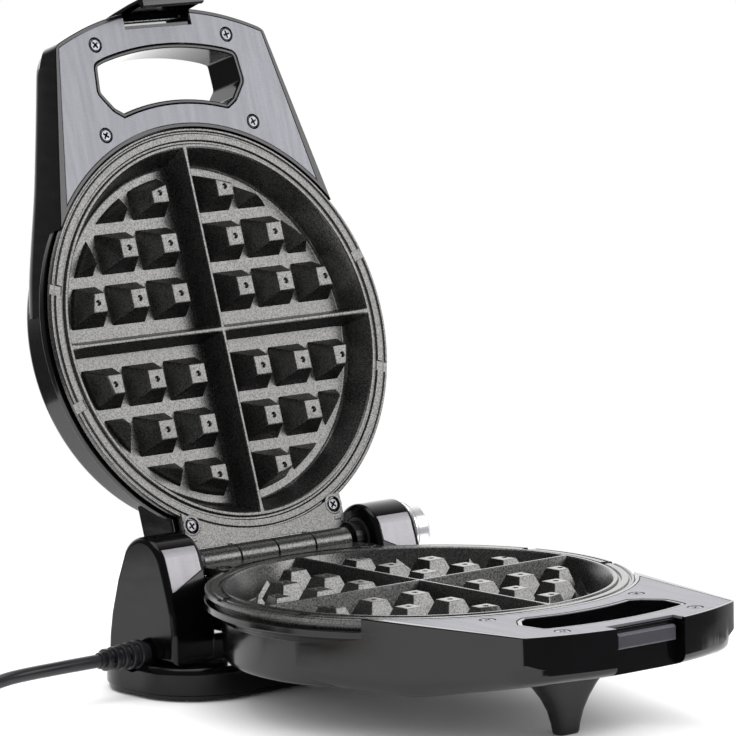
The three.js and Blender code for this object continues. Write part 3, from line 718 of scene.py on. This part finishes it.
def post(x, y):
    """A square truncated pyramid, cut short by the round field where it reaches past it."""
    slope = (POST_BASE - POST_TIP) / (CAVITY_DEPTH + POST_TOP)
    low = -CAVITY_DEPTH - 0.5
    base = POST_BASE + slope * 0.5
    rings = []
    for reach, level in ((base, low), (POST_TIP, POST_TOP)):
        rings.append([(x + sx * reach, y + sy * reach, level) for sx, sy in CORNERS])
    bm = loft(rings)
    reach = math.hypot(abs(x) + base, abs(y) + base)
    if reach > FIELD_TOP:
        bm = common(bm, turned([(0, -15.5), (FIELD_FOOT, -15.5), (FIELD_TOP, 0.1), (0, 0.1)], 96))
    lines = [e for e in bm.edges
             if len(e.link_faces) == 2 and e.calc_face_angle(0) > math.radians(28)
             and not all(v.co.z < low + 0.1 for v in e.verts)]
    bmesh.ops.bevel(bm, geom=lines, offset=0.75, segments=2, profile=0.6, affect="EDGES")
    bmesh.ops.recalc_face_normals(bm, faces=bm.faces)
    return bm


DIMPLE = [(0, -2.6), (0.7, -2.5), (1.55, POST_TOP), (1.9, 0), (0, 0)]


def posts_and_dimples():
    """The four quarters' posts, and the small dimple in the top of every whole one."""
    posts, dimples = [], []
    for i, j in ((0, 0), (1, 0), (2, 0), (0, 1), (1, 1), (2, 1), (0, 2), (1, 2)):
        for sx in (-1, 1):
            for sy in (-1, 1):
                x, y = sx * (POST_FIRST + POST_PITCH * i), sy * (POST_FIRST + POST_PITCH * j)
                posts.append(post(x, y))
                if math.hypot(x, y) < FIELD_TOP - 1:
                    dimples.append(turned(DIMPLE, 20, "z", (x, y, 0)))
    return joined(*posts), joined(*dimples)


def rib(turn):
    """A thin wall right across the cavity, wider at its foot and flared where it meets the wall."""
    rings = []
    for k in range(45):
        y = -92 + 184 * k / 44
        flare = 1 + 0.9 * max(0, (abs(y) - 80) / 12) ** 2 + 0.5 * max(0, 1 - abs(y) / 5) ** 2
        section = rounded([
            (-4 * flare, -14.4), (4 * flare, -14.4), (0.95 * flare, -0.55), (0.55 * flare, FACE),
            (-0.55 * flare, FACE), (-0.95 * flare, -0.55)], (0, 0, 0.2, 0.25, 0.25, 0.2), 2)
        rings.append([(x, y, z) for x, z in section])
    bm = loft(rings)
    bm.transform(Matrix.Rotation(turn, 4, "Z"))
    return bm


def grid_plate(half):
    """The dish with its posts and ribs, and the rear flange with screw pads and hinge barrels."""
    posts, dimples = posts_and_dimples()
    walls = common(union(rib(0), rib(math.pi / 2)),
                   turned([(0, -15.5), (86.3, -15.5), (91.4, FACE - 0.35), (91.4, 0.5), (0, 0.5)], 160))
    plate = about_plate(cut(union(dish(), posts, walls), dimples))
    flange = box(-FLANGE_HALF, FLANGE_HALF, FLANGE_BACK, 34, FLANGE_FOOT, FACE, edge=0.5)
    flange = cut(flange, about_plate(rod(99, -20, 5, segments=160)))
    flange = union(flange, box(-HINGE_HALF, HINGE_HALF, 6.8, 12, FLANGE_FOOT, FACE, edge=0.25))
    details = []
    pad = rounded([(0, -3), (5.4, -3), (5.2, -0.05), (0, -0.05)], 0.4, 3, closed=False)
    for side in (-1, 1):
        details.append(turned(pad, 32, "z", (side * FLANGE_SCREW[0], FLANGE_SCREW[1] + 0.2, 0)))
        details.append(box(side * 44.6 - 2.1, side * 44.6 + 2.1, 10.3, 12.2, -3, -0.05, edge=0.5))
    flange = union(flange, joined(*details))
    barrels = []
    for low, high in KNUCKLES:
        barrels.append(rod(BARREL_RADIUS, low + 0.35, high - 0.35, "x", edge=0.5, segments=48))
        barrels.append(box(low + 0.6, high - 0.6, 0, FLANGE_BACK + 2, FLANGE_FOOT, FACE, edge=0.3))
    flange = union(flange, *barrels)
    pin_bore = rod(2.7, -60, 60, "x", segments=24)
    across, along = FLANGE_SCREW
    screw_bores = [rod(4, -2.05, 3, centre=(side * across, along, 0)) for side in (-1, 1)]
    flange = cut(flange, pin_bore, joined(*screw_bores))
    notches = []
    for angle in (17, 163, 197, 343):
        notch = box(94.2, 102, -2.6, 2.6, -1.55, 3, edge=0.2)
        notch.transform(Matrix.Rotation(math.radians(angle), 4, "Z"))
        notches.append(about_plate(notch))
    plate = union(cut(plate, joined(*notches)), flange)
    half_piece(plate, half, "cast_plate", COATING, ["grid_plate"], 30)


for each in HALF:
    grid_plate(each)


# ---- Handles and housings ----
def handle_outline(margin, pan_radius, corner=0.0):
    """A front arc, two straight sides and an arc about the pan, all moved inwards by a margin."""
    corner_point, root = Vector(HANDLE_CORNER), Vector(HANDLE_ROOT)
    along = (root - corner_point).normalized()
    start = corner_point + Vector((along.y, -along.x)) * margin

    def meet(centre_y, radius):
        centre = start - Vector((0, centre_y))
        b = centre.dot(along)
        return start + along * (-b - math.sqrt(b * b - centre.length_squared + radius * radius))

    front_radius = HANDLE_ARC - margin
    front, back = meet(HANDLE_ARC_Y, front_radius), meet(PLATE_Y, pan_radius)
    front_angle = math.degrees(math.atan2(front.y - HANDLE_ARC_Y, front.x))
    front_arc = arc(0, HANDLE_ARC_Y, front_radius, front_angle, 180 - front_angle, 36)
    if corner:
        kept = [p for p in front_arc if abs(p[0]) < front.x - corner]
        start, end = front + (back - front).normalized() * corner, Vector(kept[0])
        curve = []
        for k in range(7):
            t = k / 7
            curve.append(tuple(start * (1 - t) ** 2 + front * (2 * t * (1 - t)) + end * t ** 2))
        front_arc = curve + kept + mirrored(curve)
    back_angle = math.degrees(math.atan2(back.y - PLATE_Y, back.x))
    return front_arc + arc(0, PLATE_Y, pan_radius, 180 - back_angle, back_angle, 60)


def handle_block_outline(corner):
    """The front and sides of the handle, carried on into the round of the pan."""
    whole = handle_outline(0, LIP_RADIUS, corner=corner)
    split = next(i for i, p in enumerate(whole) if p[1] < 200 and p[0] < 0)
    return whole[:split] + [(-PAN_TANGENT[0], PAN_TANGENT[1]), PAN_TANGENT]


def handle_block():
    """Upright walls whose corners and lower edges grow softer downwards."""
    walls = prism(handle_block_outline(2.2), -SHELL_DEPTH, LIP_TOP)
    outline = handle_block_outline(11)
    levels = [(-7, LIP_TOP + 1), (-4.5, -12), (-0.4, -22)]
    for k in range(7):
        a = math.pi / 2 * k / 6
        shrink, drop = EDGE_SOFT * (1 - math.cos(a)), EDGE_SOFT * math.sin(a)
        levels.append((0.1 + shrink, EDGE_SOFT - SHELL_DEPTH - drop))
    soft = loft([[(x, y, z) for x, y in inset(outline, margin)] for margin, z in levels])
    return common(walls, soft)


FINGER_SIDE = [(38, 222.5), (45.5, 232), (44, 247.5)]
FINGER_HOLE = rounded(
    arc(0, PLATE_Y, 112.5, 106.5, 73.5, 20) + FINGER_SIDE + arc(0, 104.5, 150, 75.5, 104.5, 20)
    + mirrored(FINGER_SIDE), [0] + [0] * 19 + [3, 6, 6, 5, 4] + [0] * 19 + [4, 5, 6, 6], 5)

UNDERSIDE = {
    "lower": [(-400, -35), (192, -35), (225, -29), (256, -23.3), (268, -22.3), (400, -22.3)],
    "lid": [(-400, -35), (148, -35), (168, -31.6), (190, -27.2), (225, -23.4), (256, -20.6), (400, -20.6)],
}


def under_level(half, y):
    """Height of the handle's sloping underside, with its bends softened."""
    bends = UNDERSIDE[half]

    def straight(at):
        for (y0, z0), (y1, z1) in zip(bends, bends[1:]):
            if at <= y1:
                return z0 + (z1 - z0) * (at - y0) / (y1 - y0)
        return bends[-1][1]
    return sum(straight(y + shift) for shift in (-7, -3.5, 0, 3.5, 7)) / 5


def sloped(bm, half, raise_by=0.0):
    """Squeezes a block upwards so that its flat bottom follows the sloping underside."""
    for y in range(130, 276, 5):
        geometry = bm.verts[:] + bm.edges[:] + bm.faces[:]
        bmesh.ops.bisect_plane(bm, geom=geometry, plane_co=(0, y, 0), plane_no=(0, 1, 0), dist=1e-4)
    for vert in bm.verts:
        depth = LIP_TOP - under_level(half, vert.co.y) - raise_by
        vert.co.z = LIP_TOP + (vert.co.z - LIP_TOP) * depth / (LIP_TOP + SHELL_DEPTH)
    return bm


def finger_ring(half):
    """The finger hole's own wall, from its rounded rim down to the handle's underside."""
    levels = [(0.4, None), (0.4, FACE - 0.75), (0.6, FACE - 0.3), (1, FACE - 0.1), (2, FACE - 0.1),
              (2.4, FACE - 0.3), (2.6, FACE - 0.75), (2.6, None)]
    rings = []
    for margin, level in levels:
        ring = []
        for x, y in inset(FINGER_HOLE, margin):
            ring.append((x, y, under_level(half, y) - 0.2 if level is None else level))
        rings.append(ring)
    return loft(rings, ring_loop=True)


def housing(half):
    """The round pan, rear block and handle of one half, hollowed from the mating side."""
    pan = about_plate(turned(rounded([
        (0, -SHELL_DEPTH), (92.6, -SHELL_DEPTH), (93.8, -14.5), (97.6, -11.6), (LIP_RADIUS, -9.6),
        (LIP_RADIUS, LIP_TOP), (0, LIP_TOP)], [0, 3.4, 0.5, 0.6, 0.7, 0.6, 0], 6, closed=False), 180))
    hollow = about_plate(turned([
        (0, -SHELL_DEPTH + WALL), (87.6, -SHELL_DEPTH + WALL), (90.2, -31), (91.4, -13.6), (96.2, -9.2),
        (98.4, 10), (0, 10)], 180))
    rear = union(box(-52.3, 52.3, 15, 40, -29, -4.6, edge=1.2),
                 box(-HINGE_HALF, HINGE_HALF, 7.6, 18, -9.5, -4.7, edge=0.6))
    rear_hollow = box(-49.6, 49.6, 17.6, 42, -26.4, 0)
    rim_clear = about_plate(rod(LIP_RADIUS + 0.01, LIP_TOP, 10, segments=180))
    foot = sloped(handle_block(), half)
    top = cut(prism(handle_block_outline(2.2), LIP_TOP - 1, FACE, edge=0.55, edge_low=0), rim_clear.copy())
    seat = prism(handle_outline(1.7, LIP_RADIUS + 1.4), FACE - TRIM - 0.3, 5)
    inside = sloped(prism(handle_outline(3.6, LIP_RADIUS + 3.4), -SHELL_DEPTH, 20), half, WALL)
    keep = box(-RECESS_HALF - 2.5, RECESS_HALF + 2.5, RECESS_FLOOR - WALL, PAST_FRONT, -40, 6)
    recess = box(-RECESS_HALF, RECESS_HALF, RECESS_FLOOR, PAST_FRONT, -40, 5)
    shell = cut(union(pan, rear, foot), rim_clear)
    shell = cut(union(shell, top), hollow, rear_hollow, cut(inside, keep), seat, recess)
    shell = union(shell, finger_ring(half))
    hole = prism(inset(FINGER_HOLE, 2.6), -SHELL_DEPTH - 5, 5)
    shell = cut(shell, hole)
    groove = turned(rounded([(70.5, -36), (72.3, -36), (71.9, -34.2), (70.9, -34.2)], 0.2, 2), 160)
    shell = cut(shell, about_plate(groove))
    if half == "lid":
        shell = cut(shell, rod(1.7, -24, 24, "x", (0, *LATCH_AXIS), segments=20),
                    joined(*[rod(3.3, -40, -30, "z", (x, 60, 0)) for x in (-9, 9)]))
    half_piece(shell, half, "shell", GLOSS, ["housing"], 28)


def silver_plate(half):
    """The thin plate on the handle, open at the finger hole, the latch and the four screws."""
    plate = prism(handle_outline(2, LIP_RADIUS + 1.7), FACE - TRIM, FACE, edge=0.3)
    plate = cut(plate, prism(FINGER_HOLE, -5, 5),
                box(-RECESS_HALF, RECESS_HALF, RECESS_FLOOR - 2, PAST_FRONT, -5, 5),
                joined(*[rod(3.95, -5, 5, centre=(x, y, 0)) for x, y in HANDLE_SCREWS]))
    half_piece(plate, half, "silver_plate", SILVER, ["handle_plate"])


def screw(radius, height, x, y, level, turn):
    """A pan-head screw with a cross recess that narrows downwards."""
    profile = [(0, -6), (1.5, -6), (1.5, -1.6), (radius, -0.9), (radius, height * 0.4),
               (radius * 0.75, height), (0, height)]
    head = turned(rounded(profile, [0, 0.2, 0.3, 0.2, 0.4, 0.5, 0], 3, closed=False), 36)
    wings = []
    for angle in (0, math.pi / 2):
        ends = ((0.5, 0.3, height - 2.2), (radius * 0.66, 0.55, height + 0.4))
        wing = loft([[(sx * length, sy * width, z) for sx, sy in CORNERS] for length, width, z in ends])
        wing.transform(Matrix.Rotation(angle, 4, "Z"))
        wings.append(wing)
    head = cut(head, union(*wings))
    head.transform(Matrix.Translation((x, y, level)) @ Matrix.Rotation(math.radians(turn), 4, "Z"))
    return head


def screws(half):
    turns = (38, 12, 55, 20)
    heads = [screw(3.35, 0.5, x, y, FACE - 0.5, turn) for (x, y), turn in zip(HANDLE_SCREWS, turns)]
    nodes = [f"handle_screw_{i}" for i in (1, 2, 3, 4)]
    half_piece(joined(*heads), half, "handle_screw_set", SCREW, nodes, 40)
    across, along = FLANGE_SCREW
    heads = [screw(3.5, 1.5, side * across, along, -1.9, turn) for side, turn in ((-1, 25), (1, 48))]
    nodes = ["plate_screw_1", "plate_screw_2"]
    half_piece(joined(*heads), half, "plate_screw_set", SCREW, nodes, 40)


# ---- Stand legs ----
# The stations are (level, half width, half depth).
LEG_Y = 212
LEG_STATIONS = [
    (-22, 27, 11), (-28, 26, 10), (-30.6, 23.5, 8.8), (-32, 22, 8), (-34, 19.6, 7.3), (-37, 16.6, 6.6),
    (-42, 12.5, 5.8), (-48, 9, 4.9), (-54, 7, 4.3), (-57.6, 6.4, 4.05), (-58.7, 5.9, 3.6), (-59, 5, 2.8)]


def stand_leg(half):
    """A blade that flares smoothly into the handle's underside, waisted and rounded at its end."""
    rings = []
    for (z0, w0, d0), (z1, w1, d1) in zip(LEG_STATIONS, LEG_STATIONS[1:]):
        steps = max(1, round((z0 - z1) / 1.2))
        for k in range(steps + (z1 == LEG_STATIONS[-1][0])):
            t = k / steps
            wide, deep, level = w0 + (w1 - w0) * t, d0 + (d1 - d0) * t, z0 + (z1 - z0) * t
            ring = []
            for n in range(48):
                a = 2 * math.pi * n / 48
                x = math.copysign(abs(math.cos(a)) ** 0.5, math.cos(a)) * wide
                y = math.copysign(abs(math.sin(a)) ** 0.6, math.sin(a)) * deep
                ring.append((x, LEG_Y + y, level))
            rings.append(ring)
    half_piece(loft(rings), half, "leg", GLOSS, ["stand_leg"], 40)


for each in HALF:
    housing(each)
    silver_plate(each)
    screws(each)
    stand_leg(each)


# ---- Latch and its bar ----
def latch():
    """A hooked lever as wide as its recess, with seven finger ribs on its outer face."""
    profile = rounded([
        (270, -22), (272.4, -16), (273.2, -9), (274.2, 4), (274.6, 15.2), (270.2, 15.4), (269.6, 13.4),
        (270.6, 12.6), (272, 12.2), (271.6, 4), (270.6, -5), (267.9, -8), (268, -13), (267.6, -22)],
        [0.8, 2, 3, 5, 0.9, 0.5, 0.3, 0.3, 0.4, 2, 1, 0.8, 0.8, 0.8], 4)
    body = prism(profile, -LATCH_HALF, LATCH_HALF, "x", edge=0.7)
    ribs = [box(x - 0.5, x + 0.5, 272.4, 274.0, -14, 1, edge=0.3) for x in (-9, -6, -3, 0, 3, 6, 9)]
    for piece in ribs:
        piece.transform(Matrix.Translation((0, 273, -6)) @ Matrix.Rotation(math.radians(-4.5), 4, "X")
                        @ Matrix.Translation((0, -272.9, 6)))
    body = union(body, joined(*ribs))
    body = cut(body, rod(1.6, -30, 30, "x", (0, *LATCH_AXIS), segments=20))
    make_piece(body, "latch_lever", HALF["lid"], "latch", GLOSS,
               replaces=("latch",), sharp=35)


def catch_bar():
    """The small bar in the lower handle's recess that the latch hooks under."""
    profile = rounded([(RECESS_FLOOR + 0.3, -10.5), (267.8, -10.5), (268, -9.8), (268, -4.4), (267.2, -3.5),
                       (RECESS_FLOOR + 0.3, -3.5)], 0.4, 3)
    bar = prism(profile, -17.5, 17.5, "x", edge=0.5)
    make_piece(bar, "catch_plate", HALF["lower"], "lower_unit", CATCH_METAL,
               replaces=("catch_bar",), sharp=35)


latch()
catch_bar()


# ---- Towers, trims and base ----
TOWER_FOOT = TRAY_TOP - AXIS_HEIGHT + 0.3
TOWER_PROFILE = rounded(
    [(-24.2, TOWER_FOOT), (28.8, TOWER_FOOT), (28, -33), (25.9, -22.2), (20.6, -5.6)]
    + arc(0, 0, TOWER_RADIUS, 20, 152, 30) + [(-17.4, 0), (-19.8, -8), (-22.8, -18), (-24, -28)],
    [0, 0, 6, 12, 10] + [0] * 30 + [3, 6, 12, 12, 6], 5)
TRIM_INNER, TRIM_OUTER, TRIM_TOP = 56.5, 76, 11.5


def trim_zone(margin):
    outline = [(TRIM_INNER - margin, 0.5 - margin), (TRIM_OUTER + margin, -8.3 - margin),
               (TRIM_OUTER + margin, TRIM_TOP + margin), (TRIM_INNER - margin, TRIM_TOP + margin)]
    return prism(outline, 4, 40, "y")


def tower_solid(margin, edge=0.0, inner=TOWER_IN, outer=TOWER_OUT):
    return prism(inset(TOWER_PROFILE, margin), inner, outer, "x", edge=edge, steps=6)


def tower(side):
    """One hollow tower with its foot on the tray, and the silver trim set in its front."""
    name = "right" if side > 0 else "left"
    seat = cut(trim_zone(0.3), tower_solid(TRIM))
    hollow = union(tower_solid(3.4, inner=TOWER_IN + WALL, outer=TOWER_OUT - WALL),
                   box(TOWER_IN + WALL, TOWER_OUT - WALL, -20, 24, TOWER_FOOT - 5, TOWER_FOOT + 8))
    foot_plan = rounded([(44.5, -23.4), (56, -23.4), (56, 24), (44.5, 24)], (5, 0, 0, 5), 6)
    foot = prism(foot_plan, TOWER_FOOT, -30.3, edge=2, edge_low=0)
    skin = cut(union(tower_solid(0, edge=2.8), foot), seat, hollow, rod(10.4, 50, 60, "x", segments=40))
    if side > 0:
        skin = cut(skin, rod(4.2, 70, 90, "x"))
    else:
        skin = reflected(skin)
        skin = cut(skin, rod(6.2, -90, -70, "x", (0, 0, CORD_EXIT[2] - AXIS_HEIGHT)))
    make_piece(skin, name + "_tower_shell", ON_AXIS, "base", BASE_BLACK,
               replaces=(name + "_tower",), sharp=28)
    band = cut(common(trim_zone(0), tower_solid(0)), tower_solid(TRIM - 0.3))
    lines = [e for e in band.edges if len(e.link_faces) == 2 and e.calc_face_angle(0) > math.radians(50)]
    bmesh.ops.bevel(band, geom=lines, offset=0.22, segments=2, profile=0.5, affect="EDGES")
    band = band if side > 0 else reflected(band)
    make_piece(band, name + "_trim_plate", ON_AXIS, "base", TRIM_SILVER_PAINTED_LIGHT,
               replaces=(name + "_tower_trim",))


def rounded_plan(half_x, half_y, radius):
    x, y = half_x - radius, half_y - radius
    quarters = ((x, y, 0), (-x, y, 90), (-x, -y, 180), (x, -y, 270))
    return [point for cx, cy, start in quarters for point in arc(cx, cy, radius, start, start + 90, 20)]


def base_tray():
    """A shallow rounded tray with a soft top edge and a fine step round its foot."""
    levels = [(0.9, 1.3), (0.9, 2.8), (0.2, 3.4), (0, 4.2), (0, 12.8), (0.15, 13.8), (0.6, 14.8), (1.4, 15.7),
              (2.4, 16.15), (3.4, TRAY_TOP)]
    plan = rounded_plan(*TRAY_HALF, TRAY_CORNER)
    outer = loft([[(x, y, z) for x, y in inset(plan, margin)] for margin, z in levels])
    inner_plan = rounded_plan(TRAY_HALF[0] - WALL, TRAY_HALF[1] - WALL, TRAY_CORNER - 2)
    inner = prism(inner_plan, -5, TRAY_TOP - WALL)
    tray = cut(outer, inner)
    for side in (-1, 1):
        tray = cut(tray, box(side * 66.5 - 7, side * 66.5 + 7, -12, 14, 10, 30))
        for y in (-27, 27):
            place = (side * 60, y, 0)
            tray = union(tray, cut(rod(4, 4.2, TRAY_TOP - 1, centre=place), rod(1.7, 0, 12, centre=place)))
    tray = cut(tray, rod(8, -110, -70, "x", (0, 0, CORD_EXIT[2]), segments=40))
    make_piece(tray, "base_tray_shell", GROUND, "base", BASE_BLACK,
               replaces=("base_tray",), sharp=28)


for side in (-1, 1):
    tower(side)
base_tray()


# ---- Heat control dial ----
def dial():
    """A smooth turned cap with a fine groove round its skirt and a raised grip bar on its face."""
    profile = [(0, 79.5), (13.9, 79.5), (14.5, 80.2), (14.5, 81.1), (14.1, 81.3), (14.1, 81.7),
               (14.5, 81.9), (14.5, 87.4), (13.7, 89.2), (12.7, 89.5), (11.4, 88.3), (10.4, 88), (0, 88)]
    soft = [0, 0.3, 0.3, 0.1, 0.1, 0.1, 0.1, 1.2, 0.6, 0.5, 0.6, 0.4, 0]
    cap = turned(rounded(profile, soft, 4, closed=False), 96, "x")
    outline = rounded([(-2.3, -10.2), (2.3, -10.2), (2.3, 10.2), (-2.3, 10.2)], 1.6, 5)
    grip = prism(outline, 87, 90.8, "x", edge=0.8)
    cap = cut(union(cap, grip), rod(3.1, 70, 84.3, "x"), box(90.4, 92, -0.35, 0.35, 3, 9.2))
    make_piece(cap, "dial_cap", ON_AXIS, "dial", PEARL, replaces=("control_dial",), sharp=30)


dial()


# ---- CAD nodes that stay, with better materials ----
DRESSED = {
    STEEL: ["hinge_pin", "latch_pin", "dial_shaft"] + [f"base_screw_{i}" for i in (1, 2, 3, 4)],
    DARK_STEEL: ["left_trunnion", "right_trunnion"],
    SHEET: ["lower_heat_reflector", "lid_heat_reflector"],
    SHEATH: ["lower_heating_element", "lid_heating_element"],
    RUBBER: [f"base_foot_{i}" for i in (1, 2, 3, 4)],
    NATURAL: ["terminal_block"],
    DARK: ["base_cover", "heat_regulator", "left_bush", "right_bush"],
    RED: ["power_lamp"],
    GREEN: ["ready_lamp"],
}
for material, names in DRESSED.items():
    for name in names:
        slots = frame["nodes"][name].data.materials
        slots.clear()
        slots.append(material)


# ---- Studio ----
def area_light(name, direction, distance, target, size, radiance):
    """A soft box in a direction from a target, given by how bright its face looks."""
    data = bpy.data.lights.new(name, "AREA")
    data.shape, data.size, data.size_y = "RECTANGLE", size[0], size[1]
    data.energy = radiance * math.pi * size[0] * size[1]
    light = bpy.data.objects.new(name, data)
    target = Vector(target)
    place = target + Vector(direction).normalized() * distance
    facing = (target - place).to_track_quat("-Z", "Y").to_matrix().to_4x4()
    light.matrix_world = Matrix.Translation(place) @ facing
    bpy.context.scene.collection.objects.link(light)


# The floor ends close to the front and right, so that the gloss there reflects the dim room.
FLOOR_X = (-1.1, 0.26)
FLOOR_Y = (-0.26, 0.4)


def studio():
    """A white table top in a dim room, with a large soft box at the front right and one overhead."""
    floor_mesh = bpy.data.meshes.new("studio_floor")
    (x0, x1), (y0, y1) = FLOOR_X, FLOOR_Y
    floor_mesh.from_pydata([(x0, y0, 0), (x1, y0, 0), (x1, y1, 0), (x0, y1, 0)], [], [(0, 1, 2, 3)])
    material, tree, shader = new_material("floor_paper")
    tone = noise(tree, 3, 2)
    paper = mixed(tree, tone, (0.9, 0.9, 0.9), (0.94, 0.94, 0.94))
    tree.links.new(paper, shader.inputs["Base Color"])
    shader.inputs["Roughness"].default_value = 0.8
    floor_mesh.materials.append(material)
    floor = bpy.data.objects.new("studio_floor", floor_mesh)
    bpy.context.scene.collection.objects.link(floor)
    middle = (0, 0.05, 0.15)
    area_light("front_box", (0.63, -0.71, 0.41), 1.7, middle, (1.1, 0.76), 4.4)
    area_light("top_box", (-0.1, 0.1, 1), 1.5, middle, (1.2, 1.2), 2.2)
    world = bpy.data.worlds.new("studio")
    world.use_nodes = True
    tree = world.node_tree
    background = tree.nodes["Background"]
    direction = add(tree, "ShaderNodeTexCoord").outputs["Generated"]
    near = add(tree, "ShaderNodeVectorMath", operation="DOT_PRODUCT")
    near.inputs[1].default_value = Vector((0.63, 0.76, 0.14)).normalized()
    tree.links.new(direction, near.inputs[0])
    glow = span(tree, near.outputs["Value"], 0.14, 2.0, 0.4, 0.95)
    path = add(tree, "ShaderNodeLightPath")
    open_white = add(tree, "ShaderNodeMath", operation="MAXIMUM")
    tree.links.new(path.outputs["Is Camera Ray"], open_white.inputs[0])
    tree.links.new(path.outputs["Is Diffuse Ray"], open_white.inputs[1])
    seen = mixed(tree, path.outputs["Is Camera Ray"], (1.5, 1.5, 1.5), (1.0, 1.0, 1.0))
    tree.links.new(mixed(tree, open_white.outputs["Value"], glow, seen), background.inputs["Color"])
    bpy.context.scene.world = world
    bpy.context.scene.view_settings.view_transform = "Standard"


studio()
